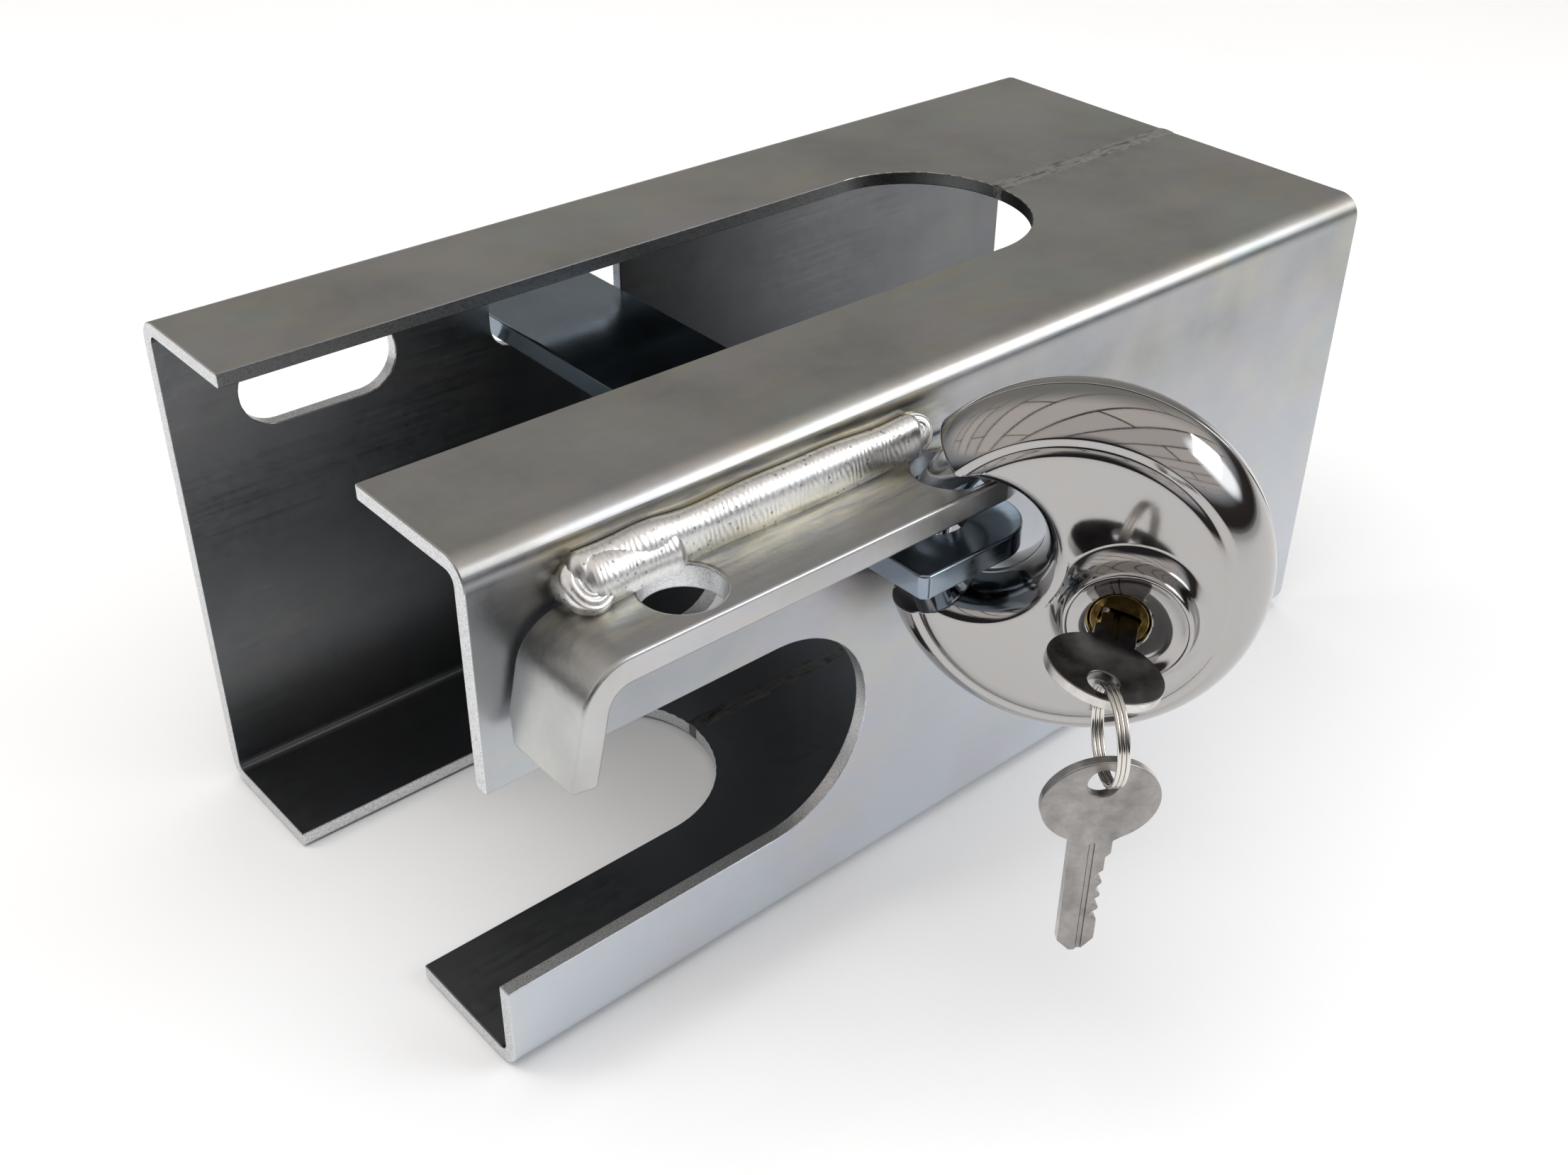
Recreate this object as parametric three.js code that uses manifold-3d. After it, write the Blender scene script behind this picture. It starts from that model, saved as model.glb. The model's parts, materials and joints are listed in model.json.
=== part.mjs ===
// Trailer coupler lock: a folded sheet-steel box that closes over a coupling head, a flat locking
// bar pushed through slots in both walls, a bent guard bar over the bar's end, and a disc padlock
// whose round shackle passes through the guard bar and the locking bar. The key is in the padlock,
// and a second key hangs from a split ring.
//
// Millimetres, +Z up. The design frame has x = 0 at the open front end of the box, y = 0 on the
// centreline and z = 0 on the underside. The exported group moves x = 0 to the middle of the box.

import * as THREE from 'three';
import { mergeVertices } from 'three/addons/utils/BufferGeometryUtils.js';
import Module from 'manifold-3d';

const wasm = await Module();
wasm.setup();

// ---------------------------------------------------------------- driving dimensions

const box = {
  length: 232, width: 110, height: 110, sheet: 3, bendRadius: 5,
  seamGap: 2.4, neckHalfWidth: 24, topNeckEnd: 172.5, bottomNeckEnd: 84,
};
const barSlot = { length: 34.4, low: 81, high: 97, front: [32, 7.9], rear: [89.3, 5.5] };  // middle, corner
const handSlot = { low: 20, high: 66, end: 84.5 };          // U-shaped opening in the right wall
const guard = {
  width: 19.4, thickness: 5.2, top: 97.2, rear: 107, bendRadius: 9.5, legLean: 12.5,
  legFrontAtTop: 8.3, legBottom: 76.4, holeRadius: 7.1, frontHole: [33, -64.7], rearHole: [92.5, -65.5],
  legGap: 0.9, clip: [5.2, 7.5], rearCorner: 9,     // gap to the wall, lower corner, rounded rear corner
};
const weld = { leg: 7, foot: 3.6, from: 15, to: 94, lowerFrom: 53, lowerTo: 69, seamCap: 0.3, seamFoot: 2.4 };
const bar = { front: 74.5, rear: 104.5, near: -78, far: 66, low: 82.5, thickness: 5, corner: 9,
  hole: [90, -63], holeRadius: 7 };

const padlock = {
  centre: [106.2, -84.9, 82], yaw: -54.8, radius: 35, rimRadius: 12, faceDepth: 11, faceRadius: 26,
  wall: 1.2, halfSeam: 0.15, rimEnd: 6.2, stepWidth: 2.1, stepHeight: 1.4, chamfer: [1.4, 0.4],
};
const bay = { centre: [-17, 5.8], waist: 11.2, mouth: 16.2, upperEnd: 138, lowerEnd: 200, reach: 6 };
const boss = { centre: [10.7, -2.9], foot: 13.8, rim: 11.2, depth: 15.9, dish: 14.2, lip: 0.9, sheet: 1.2 };
const core = { radius: 21.6, back: -3.9, front: 9.4, pocketWidth: 6.8 };
const drillRing = { inner: 7.4, outer: 9.8, back: 9.75, front: 11.6 };
const detent = { ball: 1.45, ballUp: -19.3, bore: 1.8, coil: 0.95, wire: 0.22, turns: 4, from: -12.2,
  run: 5.2 };
const plug = { axis: [9.2, -2.6], radius: 5.2, front: 13.6, back: -4.2, tail: 2.4, tailBack: -6.4,
  keyTilt: 13 };
const barrel = { radius: 8.2, nose: 7, back: -3.9, front: 9.4, noseFront: 12.7, bore: 5.5, chamberEnd: 11,
  chamberWidth: 6.2, chamberBack: -3.6, chamberFront: 8.4 };
const pins = { count: 4, first: 7, pitch: -3, radius: 1.15, hole: 1.45, keyPin: [3.7, 5.1],
  driverPin: [5.6, 8.3], spring: [8.5, 10.1], coil: 0.85, wire: 0.2, turns: 2 };
const clip = { inner: 2.7, outer: 4.6, back: -4.55, front: -4.25, mouth: 2.4 };
const shackleArc = { radius: 27.4, rod: 4.5, tip: 130, travel: 77 };
const crank = { front: -4.9, back: -6.2, hub: 4.4, armWidth: 4, end: 2.2, pinRadius: 1.5, pinBack: -9.1 };
const screw = { radius: 3.1, back: -8, slotWidth: 0.9, slotDepth: 0.7 };
const lug = { near: 13.2, far: 27, width: 8.4, back: -8.6, front: -6.6, riser: [23.4, 26.6], riserWidth: 6.4,
  slotEnd: 20.9 };
const key = {
  bladeLength: 25.6, bladeWidth: 6.6, thickness: 2, bowWidth: 20.6, bowLength: 17.4, holeRadius: 2.8,
  holeFromEnd: 4.9, reach: 17.8, bowShift: -1.2, stop: 0.9, stopEnds: [-0.4, -3.2, -4], tip: 2.5,
  firstCut: -8.2, cutWidth: 2.4, cutFloor: 0.6, groove: [1.4, 0.35, 1.1],
};
const ring = { radius: 8.3, wire: 0.5, turnPitch: 1.05, turns: 2, lean: 6.9, yaw: 20 };
const GAP = 0.3;                                               // clearance kept between neighbours

// ---------------------------------------------------------------- small helpers

const rad = THREE.MathUtils.degToRad;

// A closed three.js geometry as a manifold solid.
function solid(geometry) {
  const g = geometry.clone();
  g.deleteAttribute('normal');
  g.deleteAttribute('uv');
  const merged = mergeVertices(g, 1e-4);
  return new wasm.Manifold(new wasm.Mesh({
    numProp: 3,
    vertProperties: new Float32Array(merged.attributes.position.array),
    triVerts: new Uint32Array(merged.index.array),
  }));
}

// A named mesh made from a manifold solid.
function meshOf(name, shape, material) {
  const { vertProperties, triVerts } = shape.getMesh();
  const geometry = new THREE.BufferGeometry();
  geometry.setAttribute('position', new THREE.BufferAttribute(new Float32Array(vertProperties), 3));
  geometry.setIndex(new THREE.BufferAttribute(new Uint32Array(triVerts), 1));
  geometry.computeVertexNormals();
  const mesh = new THREE.Mesh(geometry, material);
  mesh.name = name;
  return mesh;
}

const PLACES = {
  // shape (u, v) extruded along w: which way u, v and w point
  plan: [[1, 0, 0], [0, 1, 0], [0, 0, 1]],
  side: [[1, 0, 0], [0, 0, 1], [0, -1, 0]],
  section: [[0, 1, 0], [0, 0, 1], [1, 0, 0]],
};

// A flat outline extruded from w = start to w = end. In the side place, w points to -Y.
function slab(shape, start, end, place = 'plan', curveSegments = 8) {
  const g = new THREE.ExtrudeGeometry(shape, { depth: end - start, bevelEnabled: false, curveSegments });
  g.translate(0, 0, start);
  const axes = PLACES[place].map((a) => new THREE.Vector3(...a));
  g.applyMatrix4(new THREE.Matrix4().makeBasis(...axes));
  return solid(g);
}

function outline(points) {
  return new THREE.Shape(points.map(([u, v]) => new THREE.Vector2(u, v)));
}

function rectangle(u0, v0, u1, v1, corner = 0) {
  if (corner === 0) return outline([[u0, v0], [u1, v0], [u1, v1], [u0, v1]]);
  const s = new THREE.Shape();
  s.absarc(u1 - corner, v0 + corner, corner, -Math.PI / 2, 0);
  s.absarc(u1 - corner, v1 - corner, corner, 0, Math.PI / 2);
  s.absarc(u0 + corner, v1 - corner, corner, Math.PI / 2, Math.PI);
  s.absarc(u0 + corner, v0 + corner, corner, Math.PI, 1.5 * Math.PI);
  return s;
}

function disc(u, v, radius) {
  const s = new THREE.Shape();
  s.absarc(u, v, radius, 0, 2 * Math.PI);
  return s;
}

// A solid of revolution about the padlock's face normal. Profile points are (radius, depth), with
// depth measured towards the key side, and the axis passes through (right, up).
function turned(profile, right = 0, up = 0, segments = 32) {
  const points = profile.map(([r, d]) => new THREE.Vector2(r, d));
  const g = new THREE.LatheGeometry(points, segments);
  g.rotateZ(Math.PI);
  g.translate(right, 0, up);
  return solid(g);
}

function round(radius, back, front, right = 0, up = 0, segments = 24) {
  return turned([[0, back], [radius, back], [radius, front], [0, front]], right, up, segments);
}

// A block in the padlock's axes, from its least to its greatest right, up and depth.
function block(right, up, depth) {
  const g = new THREE.BoxGeometry(right[1] - right[0], depth[1] - depth[0], up[1] - up[0]);
  g.translate((right[0] + right[1]) / 2, -(depth[0] + depth[1]) / 2, (up[0] + up[1]) / 2);
  return solid(g);
}

// A closed tube of round section along a curve.
function wireAlong(curve, radius, steps, sides) {
  const section = new THREE.Shape();
  section.absarc(0, 0, radius, 0, 2 * Math.PI);
  const g = new THREE.ExtrudeGeometry(section, { steps, curveSegments: sides, extrudePath: curve });
  return solid(g);
}

const metal = (color, roughness, metalness = 1) =>
  new THREE.MeshStandardMaterial({ color, roughness, metalness });
const materials = {
  zincSteel: metal(0x9a958c, 0.38),
  wallSteel: metal(0x9aa0a8, 0.4),
  weldMetal: metal(0xc4c4c2, 0.32),
  barSteel: metal(0x6f7f8f, 0.3),
  stainless: metal(0xcfcac4, 0.08),
  hardened: metal(0x8a8d92, 0.25),
  brass: metal(0xb08d3c, 0.3),
  zincCast: metal(0x8c8f90, 0.5),
  nickel: metal(0x8f8a84, 0.25),
  spring: metal(0xb8bcc2, 0.2),
};

// ---------------------------------------------------------------- folded box

// Section of one folded half: flange, bend, wall, bend, flange, for the left half (+Y).
function halfSection() {
  const { width, height, sheet, bendRadius: outer, seamGap } = box;
  const half = width / 2;
  const inner = outer - sheet;
  const s = new THREE.Shape();
  s.moveTo(seamGap / 2, 0);
  s.lineTo(half - outer, 0);
  s.absarc(half - outer, outer, outer, -Math.PI / 2, 0);
  s.absarc(half - outer, height - outer, outer, 0, Math.PI / 2);
  s.lineTo(seamGap / 2, height);
  s.lineTo(seamGap / 2, height - sheet);
  s.absarc(half - outer, height - outer, inner, Math.PI / 2, 0, true);
  s.absarc(half - outer, outer, inner, 0, -Math.PI / 2, true);
  s.lineTo(seamGap / 2, sheet);
  return s;
}

// A cutter for an opening that starts at the front end and has a round inner end.
function openSlot(end, low, high, from, to, place) {
  const radius = (high - low) / 2;
  const middle = (high + low) / 2;
  return slab(rectangle(-5, low, end - radius, high), from, to, place)
    .add(slab(disc(end - radius, middle, radius), from, to, place, 16));
}

const neckCut = (end, low, high) =>
  openSlot(end, -box.neckHalfWidth, box.neckHalfWidth, low, high, 'plan');

function boxCuts() {
  const { height, sheet, topNeckEnd, bottomNeckEnd } = box;
  const top = neckCut(topNeckEnd, height - sheet - 3, height + 3);
  const bottom = neckCut(bottomNeckEnd, -3, sheet + 3);
  const slots = [barSlot.front, barSlot.rear].map(([x, corner]) => {
    const u = barSlot.length / 2;
    return slab(rectangle(x - u, barSlot.low, x + u, barSlot.high, corner), -70, 70, 'side', 4);
  });
  return [top, bottom, ...slots];
}

function leftHalf() {
  const sheetSolid = slab(halfSection(), 0, box.length, 'section', 3);
  return boxCuts().reduce((body, cut) => body.subtract(cut), sheetSolid);
}

function rightHalf() {
  const handCut = openSlot(handSlot.end, handSlot.low, handSlot.high, 40, 70, 'side');
  const sheetSolid = slab(halfSection(), 0, box.length, 'section', 3).mirror([0, 1, 0]);
  return boxCuts().reduce((body, cut) => body.subtract(cut), sheetSolid).subtract(handCut);
}

// A butt weld between the two halves: ground flush outside, with a low cap inside.
function seamWeld(from, outside, inside) {
  const half = box.seamGap / 2;
  const cap = inside + Math.sign(inside - outside) * weld.seamCap;
  const points = [[-half, outside], [half, outside], [half, inside], [weld.seamFoot, inside],
    [half, cap], [-half, cap], [-weld.seamFoot, inside], [-half, inside]];
  return slab(outline(points), from, box.length, 'section');
}

// ---------------------------------------------------------------- guard bar and its welds

function guardBar() {
  const { thickness: t, top, rear, bendRadius: outer, legLean, legFrontAtTop, legBottom, width } = guard;
  const lean = rad(legLean);
  const turn = Math.PI / 2 - lean;
  const bendX = legFrontAtTop + outer * Math.tan(turn / 2);
  const bendZ = top - outer;
  const legX = legFrontAtTop - Math.tan(lean) * (top - legBottom);
  const s = new THREE.Shape();
  s.moveTo(rear, top);
  s.lineTo(bendX, top);
  s.absarc(bendX, bendZ, outer, Math.PI / 2, Math.PI / 2 + turn);
  s.lineTo(legX, legBottom);
  s.lineTo(legX + t * Math.cos(lean), legBottom - t * Math.sin(lean));
  s.absarc(bendX, bendZ, outer - t, Math.PI / 2 + turn, Math.PI / 2, true);
  s.lineTo(rear, top - t);
  const wall = box.width / 2;
  let body = slab(s, wall, wall + width, 'side', 4);
  for (const [x, y] of [guard.frontHole, guard.rearHole]) {
    body = body.subtract(slab(disc(x, y, guard.holeRadius), top - t - 2, top + 2, 'plan', 12));
  }
  const [clipOut, clipUp] = guard.clip;
  const low = legBottom - t * Math.sin(lean);
  const gap = outline([[legX - 9, low - 5], [bendX - 3, low - 5], [bendX + 4, top - 2.2],
    [bendX - 6, top + 4], [legX - 9, top + 4]]);
  const clipped = outline([[3 - wall, low - 1], [3 - wall, low + clipUp],
    [-wall - guard.legGap, low + clipUp - 1], [-wall - clipOut, low - 1]]);
  const side = -wall - width;
  const corner = guard.rearCorner;
  const square = outline([[rear - corner, side - 1], [rear + 1, side - 1], [rear + 1, side + corner],
    [rear - corner, side + corner]]);
  const beyond = slab(square, top - t - 1, top + 1, 'plan')
    .subtract(slab(disc(rear - corner, side + corner, corner), top - t - 2, top + 2, 'plan', 14));
  return body.subtract(slab(gap, wall - 1, wall + guard.legGap, 'side'))
    .subtract(slab(clipped, legX - 9, legX + 16, 'section'))
    .subtract(beyond);
}

// A fillet weld in the corner between the wall and the guard bar.
function filletWeld(from, to, surface, direction, leg, foot) {
  const wall = -box.width / 2;
  const rise = direction * leg;
  const points = [[wall, surface], [wall, surface + rise], [wall - foot * 0.55, surface + rise * 0.62],
    [wall - foot, surface]];
  if (direction < 0) points.reverse();
  return slab(outline(points.reverse()), from, to, 'section');
}

// ---------------------------------------------------------------- locking bar

function lockingBar() {
  const { front, rear, near, far, low, thickness, corner, hole, holeRadius } = bar;
  const s = new THREE.Shape();
  s.moveTo(front, near + 1);
  s.lineTo(front + 1, near);
  s.absarc(rear - corner, near + corner, corner, -Math.PI / 2, 0);
  s.lineTo(rear, far - 2);
  s.lineTo(rear - 2, far);
  s.lineTo(front + 2, far);
  s.lineTo(front, far - 2);
  const body = slab(s, low, low + thickness, 'plan', 4);
  return body.subtract(slab(disc(...hole, holeRadius), low - 2, low + thickness + 2, 'plan', 12));
}

// ---------------------------------------------------------------- padlock body

// Half section of the padlock body in (radius, depth), from the rim at the seam to the axis.
function bodyProfile(inset, seam) {
  const rimCentre = padlock.radius - padlock.rimRadius;
  const rim = padlock.rimRadius - inset;
  const points = [[0, seam]];
  const steps = 4;
  const first = Math.asin(Math.max(seam, 0) / rim);
  const last = Math.acos(padlock.rimEnd / padlock.rimRadius);
  for (let i = 0; i <= steps; i += 1) {
    const a = first + ((last - first) * i) / steps;
    points.push([rimCentre + rim * Math.cos(a), rim * Math.sin(a)]);
  }
  const face = padlock.faceDepth - inset;
  const flat = padlock.faceRadius - inset / 2;
  const [chamferWidth, chamferDrop] = padlock.chamfer;
  points.push([flat + padlock.stepWidth, face - padlock.stepHeight]);
  points.push([flat + chamferWidth, face - chamferDrop]);
  points.push([flat, face]);
  points.push([0, face]);
  return points;
}

// The bay where the shackle shows: a round waist that opens towards both faces, and the mouth
// between the two horns. Grown by inset, it bounds the hollow inside the shells.
function bayCutter(inset) {
  const depth = padlock.faceDepth;
  const flare = bay.mouth - bay.waist;
  const end = depth + bay.reach;
  const profile = [[0, -end]];
  const steps = 4;
  for (let i = -steps; i <= steps; i += 1) {
    const d = (depth * i) / steps;
    profile.push([bay.mouth - flare * Math.sqrt(1 - (d / depth) ** 2) + inset, d * 1.0001]);
  }
  profile[1][1] = -end;
  profile[profile.length - 1][1] = end;
  profile.push([0, end]);
  const waist = turned(profile, ...bay.centre, 28);
  const at = (angle, r, shift) => {
    const a = rad(angle);
    return [r * Math.cos(a) + shift * Math.sin(a), r * Math.sin(a) - shift * Math.cos(a)];
  };
  const mouth = outline([
    at(bay.upperEnd, 17, inset), at(bay.upperEnd, 45, inset), at(172, 60, 0),
    at(bay.lowerEnd, 45, -inset), at(bay.lowerEnd, 22.5, -inset), [bay.centre[0], -5 - inset],
  ]);
  return waist.add(slab(mouth, -end, end, 'side'));
}

// Tube through which the shackle runs: a full circle of the shackle's own radius.
function shackleTube(radius) {
  const g = new THREE.TorusGeometry(shackleArc.radius, radius, 12, 40);
  g.rotateX(Math.PI / 2);
  return solid(g);
}

function bodyHalf(isFront) {
  const outer = turned(bodyProfile(0, padlock.halfSeam), 0, 0, 40).subtract(bayCutter(0));
  const hollow = turned(bodyProfile(padlock.wall, -1), 0, 0, 40).subtract(bayCutter(padlock.wall));
  let body = outer;
  if (isFront) {
    const { foot, rim, depth, dish, lip, sheet: wall, centre } = boss;
    const base = padlock.faceDepth - 1;
    const raised = [[0, base], [foot, base], [foot, base + wall], [rim + 0.7, depth - 0.6], [rim, depth],
      [rim - lip, depth], [rim - 2, dish], [0, dish]];
    body = body.add(turned(raised, ...centre, 28).subtract(bayCutter(0)));
    const under = [[0, base - 1], [foot - 1.3, base - 1], [rim - 0.5, dish - wall], [0, dish - wall]];
    body = body.subtract(turned(under, ...centre, 28).subtract(bayCutter(padlock.wall)));
    body = body.subtract(round(plug.radius + GAP, base - 1, depth + 1, ...plug.axis));
  }
  body = body.subtract(hollow).subtract(shackleTube(shackleArc.rod + 0.5));
  return isFront ? body : body.mirror([0, 1, 0]);
}

// Die-cast core that fills the middle of the body and carries the cylinder.
function coreCarrier() {
  const { radius, back, front, pocketWidth } = core;
  const disk = round(radius, back, front, 0, 0, 36);
  const bore = round(barrel.radius + GAP, back - 2, front + 2, ...plug.axis);
  const pocket = block([-barrel.chamberEnd - GAP, 0], [-pocketWidth / 2, pocketWidth / 2],
    [back - 0.6, barrel.chamberFront + 0.4])
    .rotate([0, plug.keyTilt, 0]).translate([plug.axis[0], 0, plug.axis[1]]);
  const detentHole = round(detent.bore, -detent.bore, detent.bore, 0, 0, 16).rotate([90, 0, 0])
    .scale([1, 1, 4]).translate([0, 0, detent.ballUp + 0.8]);
  return disk.subtract(bayCutter(padlock.wall + GAP)).subtract(bore).subtract(pocket).subtract(detentHole);
}

// Hardened ring round the cylinder's nose, under the boss.
function antiDrillRing() {
  const { inner, outer, back, front } = drillRing;
  const section = [[inner, back], [outer, back], [outer, front], [inner, front], [inner, back]];
  return turned(section, ...plug.axis, 28);
}

// ---------------------------------------------------------------- cylinder

// Depth of each pin along the plug, and the direction of the pin chambers: towards the bay.
const pinDepths = Array.from({ length: pins.count }, (_, i) => pins.first + i * pins.pitch);

// A round peg along the chamber direction, between two distances from the plug's axis.
function peg(radius, near, far, depth, segments = 12) {
  const g = new THREE.CylinderGeometry(radius, radius, far - near, segments);
  g.rotateZ(Math.PI / 2);
  g.translate(-(near + far) / 2, -depth, 0);
  return solid(g);
}

function cylinderBarrel() {
  const { radius, nose, back, front, noseFront, bore, chamberEnd, chamberWidth } = barrel;
  const sleeve = turned([[bore, back], [radius, back], [radius, front], [nose, front],
    [nose, noseFront], [bore, noseFront], [bore, back]], 0, 0, 28);
  const chamberBlock = block([-chamberEnd, 1.1 - bore], [-chamberWidth / 2, chamberWidth / 2],
    [barrel.chamberBack, barrel.chamberFront]).subtract(round(bore, back - 1, noseFront + 0.4));
  return pinDepths.reduce((body, d) => body.subtract(peg(pins.hole, bore - 1.1, chamberEnd - 0.5, d)),
    sleeve.add(chamberBlock));
}

function cylinderPlug() {
  const { radius, front, back, tail, tailBack } = plug;
  const body = turned([[0, tailBack], [tail, tailBack], [tail, back], [radius, back], [radius, front],
    [0, front]], 0, 0, 24);
  const way = block([-key.bladeWidth / 2 - GAP, key.bladeWidth / 2 + GAP],
    [-key.thickness / 2 - GAP, key.thickness / 2 + GAP], [front - key.reach - GAP, front + 2]);
  return pinDepths.reduce((p, d) => p.subtract(peg(pins.hole, 1, 7, d)), body.subtract(way));
}

// Small coil spring in a pin chamber.
function pinSpring(depth) {
  const [near, far] = pins.spring;
  class Coil extends THREE.Curve {
    getPoint(t, target = new THREE.Vector3()) {
      const a = t * pins.turns * 2 * Math.PI;
      const out = near + (far - near) * t;
      return target.set(-out, -depth + pins.coil * Math.cos(a), pins.coil * Math.sin(a));
    }
  }
  return wireAlong(new Coil(), pins.wire, 20, 2);
}

// Spring clip that holds the plug in the barrel, in a groove behind the barrel.
function plugClip() {
  const { inner, outer, back, front, mouth } = clip;
  const section = [[inner, back], [outer, back], [outer, front], [inner, front], [inner, back]];
  const opening = block([-mouth / 2, mouth / 2], [0, outer + 1], [back - 1, front + 1]);
  return turned(section, 0, 0, 20).subtract(opening);
}

// ---------------------------------------------------------------- drive and shackle

// The crank arm is as long as the plug's distance from the padlock's centre, so the drive pin's
// bearing from that centre turns exactly half as far as the plug.
const armLength = Math.hypot(...plug.axis);
const centreBearing = THREE.MathUtils.radToDeg(Math.atan2(plug.axis[1], plug.axis[0]));

function driveCrank() {
  const { front, back, hub, armWidth, end, pinRadius, pinBack } = crank;
  const bore = plug.tail + GAP;
  const boss = turned([[bore, back], [hub, back], [hub, front], [bore, front], [bore, back]], 0, 0, 20);
  const arm = block([hub - 1, armLength], [-armWidth / 2, armWidth / 2], [back, front]);
  const tip = round(end, back, front, armLength, 0, 20);
  const pin = round(pinRadius, pinBack, back + 0.2, armLength, 0, 16);
  return boss.add(arm).add(tip).add(pin);
}

function crankScrew() {
  const { radius, back, slotWidth, slotDepth } = screw;
  const driverSlot = block([-radius - 1, radius + 1], [-slotWidth / 2, slotWidth / 2],
    [back - 1, back + slotDepth]);
  return round(radius, back, plug.tailBack - GAP, 0, 0, 20).subtract(driverSlot);
}

// The shackle: a round rod bent to an arc, with a forked lug at its hidden end.
function shackle() {
  const { radius, rod, tip, travel } = shackleArc;
  const lugBearing = centreBearing - travel / 2;
  const root = lugBearing + 7;
  const steps = 12;
  const beyond = 60;                                           // radius well outside the arc
  const away = [];
  for (let i = 0; i <= steps; i += 1) {
    const a = rad(root + ((tip - root) * i) / steps);
    away.push([beyond * Math.cos(a), beyond * Math.sin(a)]);
  }
  const arc = shackleTube(rod).subtract(slab(outline([[0, 0], ...away]), -8, 8, 'side'));
  const plate = block([lug.near, lug.far], [-lug.width / 2, lug.width / 2], [lug.back, lug.front]);
  const riser = block(lug.riser, [-lug.riserWidth / 2, lug.riserWidth / 2], [lug.back, 0]);
  const fork = block([lug.near - 1, lug.slotEnd], [-crank.pinRadius - GAP, crank.pinRadius + GAP],
    [lug.back - 1, lug.front + 0.6]);
  const lugSolid = plate.add(riser).subtract(fork).rotate([0, -lugBearing, 0]);
  return arc.add(lugSolid);
}

// Spring-loaded ball that clicks into the shackle's inner side.
function detentSpring() {
  class Coil extends THREE.Curve {
    getPoint(t, target = new THREE.Vector3()) {
      const a = t * detent.turns * 2 * Math.PI;
      return target.set(detent.coil * Math.cos(a), detent.coil * Math.sin(a), detent.from - detent.run * t);
    }
  }
  return wireAlong(new Coil(), detent.wire, 8 * detent.turns, 2);
}

// ---------------------------------------------------------------- keys and split ring

// A flat key lying in the (right, depth) plane: blade towards -depth, bow towards +depth, with
// depth 0 at the shoulder. The bitting is on the left edge.
function keyBlank() {
  const { bladeLength, bladeWidth, thickness, bowWidth, bowLength, bowShift, cutWidth } = key;
  const [stopTop, stopSide, stopFoot] = key.stopEnds;
  const half = bladeWidth / 2;
  const s = new THREE.Shape();
  const bowCentre = bowLength / 2 - 0.4;
  const bottom = key.tip - bladeLength;
  s.moveTo(half, bottom);
  s.lineTo(half, 0);
  const neck = Math.asin((-bowCentre / bowLength) * 1.9);
  s.absellipse(bowShift, bowCentre, bowWidth / 2, bowLength / 2, neck, Math.PI - neck, false, 0);
  s.lineTo(-half - key.stop, stopTop);
  s.lineTo(-half - key.stop, stopSide);
  s.lineTo(-half, stopFoot);
  for (let i = 0; i < pins.count; i += 1) {
    const v = key.firstCut + i * pins.pitch;
    const cut = 0.8 + 0.6 * Math.abs(Math.sin(2.1 * i + 1));   // depth of this cut
    s.lineTo(-half, v + cutWidth / 2);
    s.lineTo(-half + cut, v + key.cutFloor / 2);
    s.lineTo(-half + cut, v - key.cutFloor / 2);
    s.lineTo(-half, v - cutWidth / 2);
  }
  s.lineTo(-half, bottom);
  s.lineTo(-1, -bladeLength);
  s.lineTo(1, -bladeLength);
  const plate = slab(s, -thickness / 2, thickness / 2, 'plan', 14);
  const hole = slab(disc(bowShift, bowLength - key.holeFromEnd, key.holeRadius), -5, 5, 'plan', 8);
  const [grooveWidth, grooveDepth, grooveAt] = key.groove;
  const groove = new THREE.BoxGeometry(grooveWidth, bladeLength, 2 * grooveDepth);
  groove.translate(grooveAt, -bladeLength / 2 - 0.6, thickness / 2);
  return plate.subtract(hole).subtract(solid(groove));
}

// The split ring: close turns of wire, in the plane of depth and height.
function splitRing() {
  const { radius, wire, turnPitch, turns } = ring;
  class Coil extends THREE.Curve {
    getPoint(t, target = new THREE.Vector3()) {
      const a = t * turns * 2 * Math.PI;
      return target.set((t - 0.5) * turns * turnPitch, radius * Math.cos(a), radius * Math.sin(a));
    }
  }
  return wireAlong(new Coil(), wire, turns * 18, 4);
}

// ---------------------------------------------------------------- assembly

const couplerLock = new THREE.Group();
couplerLock.name = 'trailer_coupler_lock';
const design = new THREE.Group();
design.position.x = -box.length / 2;
couplerLock.add(design);

const { height, sheet } = box;
design.add(meshOf('left_half_shell', leftHalf(), materials.zincSteel));
design.add(meshOf('right_half_shell', rightHalf(), materials.wallSteel));
const topSeam = seamWeld(box.topNeckEnd, height, height - sheet);
const bottomSeam = seamWeld(box.bottomNeckEnd, 0, sheet);
design.add(meshOf('top_seam_weld', topSeam.subtract(neckCut(box.topNeckEnd, 100, 120)),
  materials.zincSteel));
design.add(meshOf('bottom_seam_weld', bottomSeam.subtract(neckCut(box.bottomNeckEnd, -5, 10)),
  materials.zincSteel));
design.add(meshOf('guard_bar', guardBar(), materials.wallSteel));
design.add(meshOf('guard_bar_weld_upper',
  filletWeld(weld.from, weld.to, guard.top, 1, weld.leg, weld.foot), materials.weldMetal));
design.add(meshOf('guard_bar_weld_lower',
  filletWeld(weld.lowerFrom, weld.lowerTo, guard.top - guard.thickness, -1, weld.foot, weld.foot),
  materials.weldMetal));
design.add(meshOf('locking_bar', lockingBar(), materials.barSteel));

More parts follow.
